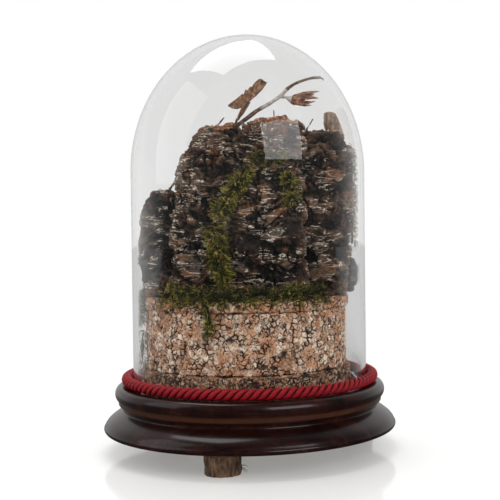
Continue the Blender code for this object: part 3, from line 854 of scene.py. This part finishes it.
# %% Bark finish
def cork_bark(name, grey, lichen, orange):
    """Weathered cork bark: how grey it is, how much lichen it has, and how orange a break is.
    Lichen grows in thin wavy lines, where one value of a noise that is long across is crossed."""
    bark = Finish(name, 0.88, Specular_IOR_Level=0.3)
    relief, upward = bark.mark("relief"), bark.mark("upward")
    grit = bark.noise(bark.at, 1.5, 4, 0.7)
    lines = bark.noise(bark.scaled(bark.at, (0.34, 0.34, 1.0)), 1.7, 4, 0.65, 0.8)
    patch = bark.noise(bark.at, 22, 3, 0.55, seed=0.7)
    # Painted shade: a low relief pulls the tone down to near-black in furrows and cracks, on top of the
    # bark's own darker colour there.
    tone = 0.55 * relief + 0.50 * lines + 0.42 * grit - 0.28
    brown = bark.ramp(
        tone, (0.30, (0.0014, 0.0007, 0.0004)), (0.48, (0.011, 0.0056, 0.0030)),
        (0.66, (0.050, 0.027, 0.015)), (0.90, (0.19, 0.12, 0.078))
    )
    slate = bark.ramp(
        tone, (0.30, (0.0014, 0.0011, 0.0009)), (0.48, (0.012, 0.0095, 0.0078)),
        (0.66, (0.050, 0.041, 0.033)), (0.90, (0.20, 0.17, 0.145))
    )
    body = bark.mix(bark.rise(patch, 0.58 - grey * 0.3, 0.72 - grey * 0.3), brown, slate)
    warm = bark.rise(bark.noise(bark.at, 13, 3, 0.6, seed=1.9), 0.50, 0.64) * 0.6
    body = bark.mix(
        warm, body, bark.mix(bark.rise(tone, 0.3, 0.8), (0.004, 0.0014, 0.0007), (0.22, 0.088, 0.038))
    )
    waves = bark.noise(bark.scaled(bark.at, (0.22, 0.22, 1.0)), 3.4, 2, 0.5, 0.9, seed=2.6)
    line = 1 - bark.rise(abs(waves - 0.5), 0.012, 0.034)
    growth = bark.noise(bark.at, 15, 3, 0.6, seed=3.1)
    bloom = line * bark.rise(
        growth + 0.25 * (relief - 0.5), 0.66 - lichen * 0.36, 0.72 - lichen * 0.36
    ) * bark.rise(grit, 0.32, 0.42)
    body = bark.mix(
        bloom * 0.9, body, bark.mix(bark.rise(grit, 0.45, 0.62), (0.33, 0.27, 0.21), (0.86, 0.80, 0.71))
    )
    broken = bark.rise(upward + 0.5 * (patch - 0.5), 0.66, 0.90) * orange
    inner = bark.ramp(
        0.6 * grit + 0.4 * lines, (0.40, (0.020, 0.006, 0.003)), (0.50, (0.20, 0.070, 0.028)),
        (0.63, (0.58, 0.30, 0.165))
    )
    bark.colour(bark.mix(broken, body, inner))
    bark.bump(0.5 * grit + 0.5 * lines, 0.8)
    return bark


bark_rugged = cork_bark("cork_bark_rugged", 0.2, 0.34, 0.0)
bark_crown = cork_bark("cork_bark_crown", 0.2, 0.34, 0.9)
bark_grey = cork_bark("cork_bark_grey", 0.55, 0.26, 0.0)


# %% [markdown]
# Glued plates lean into the glass if they grow too far, so every landscape piece is trimmed to a
# cylinder and a half ellipsoid just inside the jar.
# %% Trim to the jar
JAR = OUTER - WALL - 0.8
TALLER = (CROWN_HEIGHT - WALL - 0.8) / JAR


def trim_to_jar(mesh):
    """Pulls in any point that lies closer than about a millimetre to the glass."""
    places = np.empty(len(mesh.vertices) * 3)
    mesh.vertices.foreach_get("co", places)
    places = places.reshape(-1, 3) / MM
    out = np.maximum(np.hypot(places[:, 0], places[:, 1]), 1e-6)
    places[:, :2] *= np.minimum(1, JAR / out)[:, None]
    over = (places - (0, 0, spring)) / (1, 1, TALLER)
    high = (over[:, 2] > 0) & (np.linalg.norm(over, axis=1) > JAR)
    over[high] *= (JAR / np.linalg.norm(over[high], axis=1))[:, None]
    places[high] = over[high] * (1, 1, TALLER) + (0, 0, spring)
    mesh.vertices.foreach_set("co", (places * MM).ravel())
    mesh.update()


# %% Weather the plates
PLATES = {
    "left_slab": (bark_grey, 0.75, dict(Swell=0.0008, Ridge=0.0016, Crack=0.0016, Shift=0.11)),
    "lower_left": (bark_rugged, 0.70, dict(Ridge=0.0045, Shift=0.23)),
    "left_shoulder": (bark_crown, 0.70, dict(Swell=0.0045, Ridge=0.0046, Shift=0.37)),
    "centre": (bark_crown, 0.75, dict(Swell=0.0040, Ridge=0.0050, Crack=0.0038, Shift=0.41)),
    "right": (bark_rugged, 0.80, dict(Swell=0.0030, Ridge=0.0040, Shift=0.53)),
    "right_chunk": (bark_grey, 0.60, dict(Swell=0.0012, Ridge=0.0022, Crack=0.0012, Shift=0.61)),
    "rear_left": (bark_rugged, 0.90, dict(Shift=0.71)),
    "rear_right": (bark_rugged, 0.90, dict(Shift=0.83)),
}


def weathered_plate(name, finish, grain, sizes):
    start = node_copy("bark_" + name)
    remesh = start.modifiers.new("even faces", "REMESH")
    remesh.mode, remesh.voxel_size = "VOXEL", grain * MM
    made = cook("bark_plate_" + name, start, weather, finish, **sizes)
    bpy.data.objects.remove(start)
    trim_to_jar(made)
    place("bark_plate_" + name, made, finish, "base", ["bark_" + name], "cork_bark")


for name, (finish, grain, sizes) in PLATES.items():
    weathered_plate(name, finish, grain, sizes)

# %% [markdown]
# The chip at the upper right is a split piece that shows clean pale wood with soft upright grain.
# It is weathered lightly, and has its own finish.
# %% Pale chip
chip_wood = Finish("split_chip", 0.8)
fibres = chip_wood.noise(chip_wood.scaled(chip_wood.at, (1.0, 1.0, 0.14)), 1.6, 4, 0.6)
cloud = chip_wood.noise(chip_wood.at, 7, 3, 0.6)
hue = chip_wood.ramp(
    0.5 * fibres + 0.5 * cloud, (0.34, (0.060, 0.035, 0.022)), (0.47, (0.17, 0.105, 0.068)),
    (0.62, (0.36, 0.25, 0.175))
)
x, y, z = chip_wood.axes(chip_wood.at)
foot_of_chip = 1 - chip_wood.rise(z + (cloud - 0.5) * 0.012, 0.2118, 0.2189)
hue = chip_wood.mix(foot_of_chip * 0.8, hue, (0.46, 0.20, 0.09))
chip_wood.colour(hue)
chip_wood.bump(fibres, 0.4)
weathered_plate(
    "right_chip", chip_wood, 0.6, dict(Swell=0.0010, Ridge=0.0007, Crack=0.0004, Crumb=0.0004, Shift=0.93)
)

# %% [markdown]
# ## Moss
# The moss is a feathery kind: each frond is a thin stem with small leaflets on both sides. Three
# frond shapes of a few dozen faces are built once, and Geometry Nodes scatter some thousands over
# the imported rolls, each with its own size, lean and tint. The roll itself, shrunk a little, stays
# below as the dark mat. Fronds are made shorter than the real ones where they would touch the glass.
# %% Fronds
def frond(name, lean, curl, seed):
    """A stem of 6 mm with leaflets, growing up Z and bending towards X."""
    pick_random = random.Random(seed)
    points, faces, marks = [], [], []

    def spine(t):
        return Vector(
            (
                lean * t * t + 0.25 * math.sin(4 * t + seed), curl * t * t,
                6.0 * t * (1 - 0.25 * t * abs(lean) / 3)
            )
        )

    for i in range(5):
        t, r = i / 4, 0.20 * (1 - 0.6 * i / 4)
        for j in range(3):
            a = math.tau * j / 3
            points.append(spine(t) + Vector((r * math.cos(a), r * math.sin(a), 0)))
            marks.append(t)
    for i in range(4):
        for j in range(3):
            faces.append((3 * i + j, 3 * i + (j + 1) % 3, 3 * i + 3 + (j + 1) % 3, 3 * i + 3 + j))
    faces.append((12, 13, 14))
    for i in range(9):
        t = 0.18 + 0.8 * i / 8
        root, turn = spine(t), math.pi * (i % 2) + pick_random.uniform(-0.7, 0.7)
        reach = (1.5 - 0.7 * t) * pick_random.uniform(0.75, 1.15)
        tip = root + Vector((reach * math.cos(turn) * 0.8, reach * math.sin(turn) * 0.8, reach * 0.75))
        wide = Vector((-math.sin(turn), math.cos(turn), 0)) * 0.26
        middle = root.lerp(tip, 0.45)
        count = len(points)
        points += [root, middle + wide, tip, middle - wide]
        marks += [t, t, min(1, t + 0.25), t]
        faces.append((count, count + 1, count + 2, count + 3))
    mesh = mesh_of(name, points, faces, along=marks)
    return helper(name, mesh)


fronds = [
    frond("frond_straight", 0.6, 0.3, 1), frond("frond_curled", 2.4, -0.6, 2),
    frond("frond_bent", -1.8, 1.0, 3)
]
print("a frond has", len(fronds[0].data.polygons), "faces")

# %% Sowing fronds
def sown_fronds(bench, spots, lean, sizes, droop, forward):
    """A frond on each spot, with its own shape, turn, size and tint. `droop` pulls it down and forward."""
    names = ("Frond A", "Frond B", "Frond C")
    shapes = [
        bench.node(
            "GeometryNodeObjectInfo", {}, {"Object": bench.size(n), "As Instance": True}, "Geometry"
        ) for n in names
    ]
    choice = bench.node("GeometryNodeJoinGeometry", {}, {"Geometry": shapes})
    between = {"Min": (-1.0, -1.0, 0.0), "Max": (1.0, 1.0, 6.2832), "Seed": bench.size("Seed")}
    sx, sy, sz = bench.axes(
        bench.node("FunctionNodeRandomValue", {"data_type": "FLOAT_VECTOR"}, between, "Value")
    )
    leaning = bench.node("ShaderNodeCombineXYZ", {}, {"X": sx * lean, "Y": sy * lean, "Z": sz})
    turning = {"Rotation": spots.out("Rotation"), "Rotate By": leaning}
    turn = bench.node("FunctionNodeRotateRotation", {"rotation_space": "LOCAL"}, turning)
    hanging = {"Rotation": turn, "Factor": droop, "Vector": (0.0, forward, -1.0)}
    hang = bench.node("FunctionNodeAlignRotationToVector", {"axis": "Z"}, hanging)
    least_and_most = {"Min": sizes[0], "Max": sizes[1], "Seed": 7}
    many = bench.node("FunctionNodeRandomValue", {"data_type": "FLOAT"}, least_and_most, "Value")
    which = bench.node(
        "FunctionNodeRandomValue", {"data_type": "INT"}, {"Min": 0, "Max": 2, "Seed": 8}, "Value"
    )
    sown = {
        "Points": spots, "Instance": choice, "Pick Instance": True, "Instance Index": which, "Rotation": hang,
        "Scale": many
    }
    fronds_on_spots = bench.node("GeometryNodeInstanceOnPoints", {}, sown)
    tint = bench.node(
        "FunctionNodeRandomValue", {"data_type": "FLOAT"}, {"Min": 0.0, "Max": 1.0, "Seed": 9}, "Value"
    )
    return bench.keep(fronds_on_spots, "tint", tint, "INSTANCE")


# %% Recipe for moss
grow = Recipe(
    "grown_moss", Frond_A=None, Frond_B=None, Frond_C=None, Per_square_metre=1.0e6, Least=0.5, Most=1.1,
    Lean=1.1, Droop=0.3, Shrink=0.0009, Seed=1
)
mat = grow.size("Geometry")
clumps = grow.rise(grow.noise(grow.node("GeometryNodeInputPosition"), 5.5, 3, 0.55), 0.42, 0.60)
scatter = grow.node(
    "GeometryNodeDistributePointsOnFaces", {"distribute_method": "RANDOM"},
    {
        "Mesh": mat, "Density": grow.size("Per square metre") * (0.08 + 1.5 * clumps),
        "Seed": grow.size("Seed")
    },
    "Points"
)
tinted = sown_fronds(
    grow, scatter, grow.size("Lean"), (grow.size("Least"), grow.size("Most")), grow.size("Droop"), -0.12
)
inward_push = grow.times(
    grow.node("GeometryNodeInputNormal"), -grow.size("Shrink") * (0.6 + 3.2 * (1 - clumps))
)
core = grow.node("GeometryNodeSetPosition", {}, {"Geometry": mat, "Offset": inward_push})
grow.serve(grow.node("GeometryNodeJoinGeometry", {}, {"Geometry": [tinted, core]}))


# %% Moss finish
def moss_finish(name, shade, fresh):
    moss = Finish(name, 0.75, Specular_IOR_Level=0.25)
    tint, along = moss.mark("tint"), moss.mark("along")
    patch = moss.noise(moss.at, 9, 3, 0.6)
    tone = 0.42 * tint + 0.30 * along + 0.5 * patch - shade
    green = moss.ramp(
        tone, (0.32, (0.0022, 0.0022, 0.0004)), (0.52, (0.016, 0.017, 0.0016)), (0.72, (0.085, 0.084, 0.007)),
        (0.95, (0.42, 0.38, 0.045))
    )
    dry = moss.ramp(
        tone, (0.30, (0.008, 0.0045, 0.001)), (0.60, (0.13, 0.085, 0.016)), (0.86, (0.46, 0.34, 0.09))
    )
    moss.colour(
        moss.mix(
            moss.rise(moss.noise(moss.at, 6, 2, 0.5, seed=0.9) + 0.25 * tint, fresh, fresh + 0.14), green, dry
        )
    )
    moss.bump(moss.noise(moss.at, 0.6, 3, 0.6), 0.3)
    return moss


moss_green = moss_finish("green_moss", 0.0, 0.66)
moss_dark = moss_finish("green_moss_shaded", 0.08, 0.70)
moss_pale = moss_finish("green_moss_pale", -0.06, 0.56)

# %% Grow the moss
# Each tuft: fronds to the square millimetre, least and most size, lean, droop and finish
MOSS = {
    "band_left": (1.5, 0.35, 0.85, 1.3, 0.10, moss_green),
    "band_middle": (1.5, 0.35, 0.8, 1.3, 0.10, moss_dark),
    "band_right": (1.5, 0.35, 0.8, 1.3, 0.05, moss_dark),
    "strip_upper": (1.7, 0.4, 1.1, 1.3, 0.25, moss_green),
    "strip_lower": (1.6, 0.4, 1.2, 1.3, 0.35, moss_green),
    "patch_middle": (1.5, 0.35, 0.85, 1.3, 0.15, moss_green),
    "patch_top": (1.3, 0.3, 0.8, 1.3, 0.15, moss_dark), "right_side": (0.9, 0.4, 1.0, 1.4, 0.15, moss_pale),
    "dangle": (2.2, 0.35, 0.8, 1.0, 0.45, moss_green), "left_upper": (1.6, 0.3, 0.8, 1.2, 0.30, moss_pale),
    "left_lower": (1.6, 0.3, 0.8, 1.2, 0.30, moss_pale)
}
for seed, (name, (thick, least, most, lean_by, droop, finish)) in enumerate(MOSS.items()):
    start = node_copy("moss_" + name)
    sizes = dict(
        Frond_A=fronds[0], Frond_B=fronds[1], Frond_C=fronds[2], Per_square_metre=thick * 1e6, Least=least,
        Most=most, Lean=lean_by, Droop=droop, Seed=seed
    )
    made = cook("moss_tuft_" + name, start, grow, finish, **sizes)
    bpy.data.objects.remove(start)
    trim_to_jar(made)
    place("moss_tuft_" + name, made, finish, "base", ["moss_" + name], "green_moss")

# %% [markdown]
# Moss also creeps from the tufts on to the bark. A second recipe sprinkles fronds on the finished
# plates: dense where a tuft is near, by the Proximity node, and broken up by noise.
# %% Creeping moss
creep = Recipe(
    "creeping_moss", Frond_A=None, Frond_B=None, Frond_C=None, Rolls=None, Per_square_metre=1.6e6,
    Reach=0.0085, Seed=40
)
ground = creep.size("Geometry")
where = creep.node("GeometryNodeInputPosition")
rolls_here = creep.node("GeometryNodeObjectInfo", {}, {"Object": creep.size("Rolls")}, "Geometry")
far_off = creep.node(
    "GeometryNodeProximity", {"target_element": "FACES"}, {"Geometry": rolls_here}, "Distance"
)
near = 1 - creep.rise(far_off, 0.0, creep.size("Reach"))
broken_up = creep.rise(creep.noise(where, 7, 3, 0.6, seed=0.3) + 0.22 * near, 0.52, 0.66)
sown = creep.node(
    "GeometryNodeDistributePointsOnFaces", {"distribute_method": "RANDOM"},
    {
        "Mesh": ground, "Density": creep.size("Per square metre") * near * broken_up,
        "Seed": creep.size("Seed")
    },
    "Points"
)
creep.serve(sown_fronds(creep, sown, 1.2, (0.3, 0.8), 0.25, -0.1))


def joined(name, nodes):
    """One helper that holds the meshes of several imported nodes."""
    points, faces = [], []
    for node in nodes:
        mesh = frame["nodes"][node].data
        faces += [[corner + len(points) for corner in face.vertices] for face in mesh.polygons]
        points += [vertex.co / MM for vertex in mesh.vertices]
    return helper(name, mesh_of(name, points, faces))


rolls = joined("all_moss_rolls", ["moss_" + name for name in MOSS if name != "dangle"])
GROUNDS = [
    "bark_plate_lower_left", "bark_plate_left_shoulder", "bark_plate_centre", "bark_plate_right",
    "bark_plate_left_slab", "plinth_top_disc"
]
for seed, name in enumerate(GROUNDS):
    start = helper("creep_start", bpy.data.objects[name].data.copy())
    made = cook(
        "moss_creep_" + str(seed), start, creep, moss_green, Frond_A=fronds[0], Frond_B=fronds[1],
        Frond_C=fronds[2], Rolls=rolls, Seed=40 + seed
    )
    bpy.data.objects.remove(start)
    if not made.polygons:
        continue
    trim_to_jar(made)
    place("moss_creep_on_" + name, made, moss_green, "base", None, "green_moss")
for shape in fronds + [rolls]:
    bpy.data.objects.remove(shape)

# %% [markdown]
# ## Twig, husk and leaves
# Thin dry things are swept: a round section along a smooth path for stalks, and a lens-shaped one
# that ends in a point for bracts. Heights are counted from the top of the plinth, where they are
# stuck in.
# %% Sweeping along a path
PLINTH_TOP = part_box("cork_top_disc")[1].z / MM
RISE = 1.02  # the landscape is a little taller than its plan heights


def smooth_path(points, steps):
    """A Catmull-Rom curve through the points, lifted on to the plinth."""
    p = [Vector(points[0])] + [Vector(q) for q in points] + [Vector(points[-1])]
    path = []
    for i in range(len(p) - 3):
        a, b, c, d = p[i : i + 4]
        for k in range(steps):
            t = k / steps
            path.append(
                0.5 * (
                    2 * b + (c - a) * t + (2 * a - 5 * b + 4 * c - d) * t * t + (3 * b - a - 3 * c + d) * t**3
                )
            )
    return [Vector((q.x, q.y, PLINTH_TOP + RISE * q.z)) for q in path + [p[-2]]]


class Sweep:
    """Collects swept shapes into one mesh, with a mark for how far along each point is."""

    def __init__(self):
        self.points, self.faces, self.along = [], [], []

    def limb(self, route, radii, steps=6, sides=10, flat=1.0, face=(0, -1, 0), knots=0.12, marks=(0.0, 1.0)):
        path = smooth_path(route, steps)
        first = len(self.points)
        for i, here in enumerate(path):
            t = i / (len(path) - 1)
            k = t * (len(radii) - 1)
            lower = min(int(k), len(radii) - 2)
            radius = radii[lower] + (radii[lower + 1] - radii[lower]) * (k - lower)
            radius *= 1 + knots * noise.noise(here * 0.35) + knots * 0.6 * noise.noise(here * 1.1)
            forward = (path[min(i + 1, len(path) - 1)] - path[max(i - 1, 0)]).normalized()
            across = forward.cross(Vector(face)).normalized()
            over = across.cross(forward).normalized()
            for j in range(sides):
                a = math.tau * j / sides
                self.points.append(here + across * radius * math.cos(a) + over * radius * flat * math.sin(a))
                self.along.append(marks[0] + (marks[1] - marks[0]) * t)
        for i in range(len(path) - 1):
            for j in range(sides):
                a, b = first + i * sides + j, first + i * sides + (j + 1) % sides
                self.faces.append((a, b, b + sides, a + sides))
        last = len(self.points) - sides
        self.faces.append(tuple(range(first + sides - 1, first - 1, -1)))
        self.faces.append(tuple(range(last, last + sides)))
        return self

    def mesh(self, name):
        return mesh_of(name, self.points, self.faces, 50, along=self.along)


# %% Dry twig
twig_bark = Finish("dry_twig", 0.7)
streak = twig_bark.noise(twig_bark.scaled(twig_bark.at, (0.4, 1.0, 0.6)), 1.2, 4, 0.6)
far_along = twig_bark.mark("along")
brown = twig_bark.ramp(
    streak, (0.35, (0.035, 0.014, 0.007)), (0.52, (0.115, 0.055, 0.028)), (0.68, (0.24, 0.14, 0.085))
)
silver = twig_bark.ramp(streak, (0.35, (0.22, 0.18, 0.165)), (0.60, (0.52, 0.47, 0.45)))
weathered_part = twig_bark.rise(far_along, 0.24, 0.27) * (1 - twig_bark.rise(far_along, 0.53, 0.56))
twig_bark.colour(twig_bark.mix(weathered_part, brown, silver))
twig_bark.bump(streak, 0.25)

twig = Sweep().limb(
    [
        (-6.8, -19, 112.5), (0.3, -18, 117.6), (6.5, -17, 122.2), (15.2, -16, 127.2), (22.7, -16, 132.3),
        (26.5, -16, 136.2), (31.4, -15.5, 139.6), (37.1, -15, 142.0), (43.2, -14.5, 143.8), (49.3, -14, 144.4)
    ],
    [1.35, 1.5, 1.35, 1.3, 1.2, 1.25, 1.0, 0.95, 0.9, 1.05]
)
twig.limb([(48.9, -14, 144.6), (50.6, -14, 143.8), (51.9, -14, 142.6)], [0.8, 0.6, 0.35], marks=(0.9, 1.0))
twig.limb([(20, -16, 130.4), (22.4, -16.4, 131.2), (24.6, -16.6, 131.0)], [1.0, 0.9, 1.1], marks=(0.45, 0.55))
place("twig_stem_dry", twig.mesh("twig_stem_dry"), twig_bark, "base", ["twig_stem"], "dry_twig")

stalk = Sweep().limb(
    [(-8.0, -20, 113.5), (-6.9, -19, 117), (-5.4, -17.5, 120.2), (-3.6, -16.6, 124.0)], [0.85, 0.7, 0.6, 0.4]
)
place("leaf_stalk_dry", stalk.mesh("leaf_stalk_dry"), twig_bark, "base", ["leaf_stalk"], "dry_twig")

# %% Splinters
# Each limb of a splinter: its route, its radii and how knotty it is
SPLINTERS = {
    "bark_splinter_left": [([(-53, -12, 71), (-49.5, -13, 76), (-46.5, -14, 82.5)], [1.0, 0.8, 0.3], 0.4)],
    "bark_splinter_top": [
        ([(-22, -22, 110.5), (-18.8, -22, 113.5), (-15.6, -22, 117.2)], [0.9, 0.7, 0.3], 0.4),
        ([(35.2, -28, 112.6), (36.4, -28, 111.0), (37.4, -28, 108.0)], [0.8, 1.0, 0.8], 0.4),
        ([(38.5, -28, 108.5), (40.6, -28, 111.4), (43.0, -28, 115.4)], [0.7, 0.5, 0.35], 0.4),
        ([(16.4, -33, 111.0), (17.2, -33, 116.0), (17.0, -33, 120.5)], [0.7, 0.45, 0.25], 0.3),
        ([(10.0, -30, 111.6), (11.4, -30, 114.6), (12.6, -30, 116.2)], [0.9, 0.6, 0.3], 0.3),
    ],
}
SPLINTER_NAMES = {
    "bark_splinter_left": "bark_splinter_left_dry", "bark_splinter_top": "bark_splinters_top_dry"
}
for node, limbs in SPLINTERS.items():
    splinter = Sweep()
    for route, radii, knots in limbs:
        splinter.limb(route, radii, knots=knots)
    name = SPLINTER_NAMES[node]
    place(name, splinter.mesh(name), twig_bark, "base", [node], "cork_bark")

# %% [markdown]
# The husk is an opened seed head: a grey cup on a short neck and five stiff pointed bracts that
# spread from it.
# %% Seed husk
husk_skin = Finish("dry_husk", 0.6)
rib = husk_skin.noise(husk_skin.scaled(husk_skin.at, (0.25, 1.0, 1.0)), 1.0, 4, 0.6)
ripe = husk_skin.mark("along")
shell = husk_skin.ramp(
    rib, (0.36, (0.045, 0.013, 0.007)), (0.50, (0.20, 0.075, 0.040)), (0.66, (0.46, 0.27, 0.16))
)
shell = husk_skin.mix(husk_skin.rise(ripe, 0.75, 1.0) * 0.6, shell, (0.42, 0.33, 0.23))
cup = husk_skin.mix(rib, (0.26, 0.23, 0.23), (0.62, 0.58, 0.57))
husk_skin.colour(husk_skin.mix(1 - husk_skin.rise(ripe, 0.16, 0.20), shell, cup))
husk_skin.bump(rib, 0.3)
husk = Sweep().limb(
    [(24.2, -16, 131.4), (26.0, -16, 130.9), (28.4, -16, 130.0), (31.0, -16, 129.2)], [0.75, 0.9, 1.9, 3.0],
    marks=(0.0, 0.17)
)
husk.limb(
    [(29.6, -16, 129.6), (31.5, -16, 129.2), (35, -16, 129.2), (38.5, -16, 129.3)], [2.5, 3.3, 3.1, 1.6],
    marks=(0.2, 0.6)
)
BRACTS = [
    ((31, -17.6, 131.0), (37, -18.2, 132.6), (43, -17.8, 133.9), (48.4, -17, 134.8), 1.7),
    ((31, -18.6, 129.6), (37, -19.4, 130.2), (43, -18.8, 130.4), (47.6, -18, 130.0), 1.6),
    ((31, -17.4, 127.4), (35, -17.8, 126.6), (39, -17.2, 125.8), (43.0, -16.4, 125.6), 1.5),
    ((31, -14.8, 131.0), (37, -13.6, 132.4), (42, -13.2, 133.0), (45.5, -13, 133.0), 1.5),
    ((31, -14.4, 128.4), (36, -13.4, 128.0), (41, -13.2, 127.9), (45.8, -13.4, 128.6), 1.5)
]
for *route, width in BRACTS:
    husk.limb(route, [width * 0.8, width, width * 0.7, 0.15], flat=0.35, knots=0.15, marks=(0.25, 1.0))
place("seed_husk_open", husk.mesh("seed_husk_open"), husk_skin, "base", ["seed_husk"], "dry_twig")

# %% [markdown]
# The big leaf has dried folded: one wide blade with a toothed upper edge, and under it the rest of
# the leaf rolled into a narrow strip. A blade is a grid of points across a midrib, given its real
# thickness by Solidify. The marks `along` and `across` carry the veins.
# %% Dry leaves
MIDRIB = 0.42  # how far across a blade its middle vein runs
leaf_skin = Finish("dry_leaf", 0.62, Sheen_Weight=0.1)
along, across = leaf_skin.mark("along"), leaf_skin.mark("across")
away = abs(across - MIDRIB)
side_veins = leaf_skin.rise(((along * 9 - away * 7) * math.tau).sine(), 0.82, 0.98) * 0.7
vein = side_veins.highest(1 - leaf_skin.rise(away, 0.02, 0.06))
mottle = leaf_skin.noise(leaf_skin.at, 2.6, 4, 0.65)
dry_brown = leaf_skin.ramp(
    mottle, (0.34, (0.085, 0.036, 0.015)), (0.50, (0.24, 0.12, 0.060)), (0.66, (0.46, 0.27, 0.15))
)
edge_dark = leaf_skin.rise(away, 0.40, 0.56)
dry_brown = leaf_skin.mix(edge_dark * 0.6, dry_brown, (0.045, 0.014, 0.007))
leaf_skin.colour(leaf_skin.mix(vein * 0.55, dry_brown, (0.07, 0.028, 0.014)))
leaf_skin.bump(0.6 * mottle + 0.4 * (1 - vein), 0.35)


def blade(outline, columns=10, curl=0.9, wave=0.5):
    """A leaf surface between two edges. Each row is (upper edge, lower edge) as (x, h), with y."""
    points, faces, along, across = [], [], [], []
    dense = []
    for i in range(len(outline) - 1):
        for k in range(4):
            t = k / 4
            dense.append([a + (b - a) * t for a, b in zip(outline[i], outline[i + 1])])
    dense.append(list(outline[-1]))
    for i, (ux, uh, lx, lh, y) in enumerate(dense):
        for j in range(columns + 1):
            s = j / columns
            fold = curl * (4 * (s - MIDRIB) ** 2) * 2 + wave * math.sin(i * 0.7 + s * 5)
            points.append((ux + (lx - ux) * s, y - fold, (uh + (lh - uh) * s) * RISE + PLINTH_TOP))
            along.append(i / (len(dense) - 1))
            across.append(s)
    for i in range(len(dense) - 1):
        for j in range(columns):
            a = i * (columns + 1) + j
            faces.append((a, a + 1, a + columns + 2, a + columns + 1))
    return points, faces, along, across


def leaf(name, node, blades, thickness):
    points, faces, along, across = [], [], [], []
    for part in blades:
        p, f, a, c = part
        faces += [tuple(n + len(points) for n in face) for face in f]
        points, along, across = points + p, along + a, across + c
    start = helper(name, mesh_of(name, points, faces, along=along, across=across))
    solid = start.modifiers.new("thickness", "SOLIDIFY")
    solid.thickness, solid.offset = thickness * MM, 0.0
    made = plain_mesh(start)
    bpy.data.objects.remove(start)
    place(name, made, leaf_skin, "base", [node], "dry_leaf")


wide_blade = blade(
    [
        (-13.1, 125.3, -12.8, 125.0, -17), (-10.6, 127.4, -10.4, 123.4, -17),
        (-7.5, 129.8, -7.2, 123.0, -16.6), (-5.2, 131.6, -4.6, 123.8, -16), (-3.6, 133.2, -2.4, 125.2, -15.6),
        (-2.4, 132.6, -0.8, 126.8, -15.2), (-1.2, 136.2, 0.6, 128.0, -15), (0.2, 135.4, 2.2, 128.9, -14.8),
        (2.0, 138.2, 4.2, 130.6, -14.5), (3.2, 137.9, 5.8, 131.8, -14.3), (4.8, 140.6, 7.4, 133.4, -14.1),
        (6.4, 142.0, 9.0, 135.0, -14), (8.2, 143.2, 10.4, 136.4, -13.9), (10.0, 143.2, 11.6, 138.2, -13.8),
        (10.9, 142.0, 12.6, 139.8, -13.8), (12.2, 141.4, 13.4, 140.8, -13.8)
    ]
)
narrow_blade = blade(
    [
        (-6.6, 115.6, -5.9, 115.6, -18.4), (-6.2, 118.2, -4.6, 117.4, -18), (-5.2, 121.4, -3.0, 119.2, -17.6),
        (-3.9, 124.0, -1.4, 121.6, -17.2), (-1.6, 126.6, 0.2, 124.2, -16.6), (0.6, 128.6, 2.0, 127.6, -16)
    ],
    columns=8, curl=1.6, wave=0.2
)
leaf("dry_leaf_folded", "dry_leaf", [wide_blade, narrow_blade], 0.35)
small = blade(
    [
        (-2.6, 110.6, -0.6, 109.4, -13), (-1.0, 112.4, 2.6, 110.4, -12.4), (0.9, 114.8, 4.8, 111.2, -12),
        (1.8, 116.0, 5.6, 112.0, -11.8), (3.2, 114.6, 6.2, 112.8, -11.6), (5.2, 114.0, 6.6, 113.4, -11.4)
    ],
    columns=8, curl=0.8, wave=0.3
)
leaf("small_leaf_folded", "small_leaf", [small], 0.4)
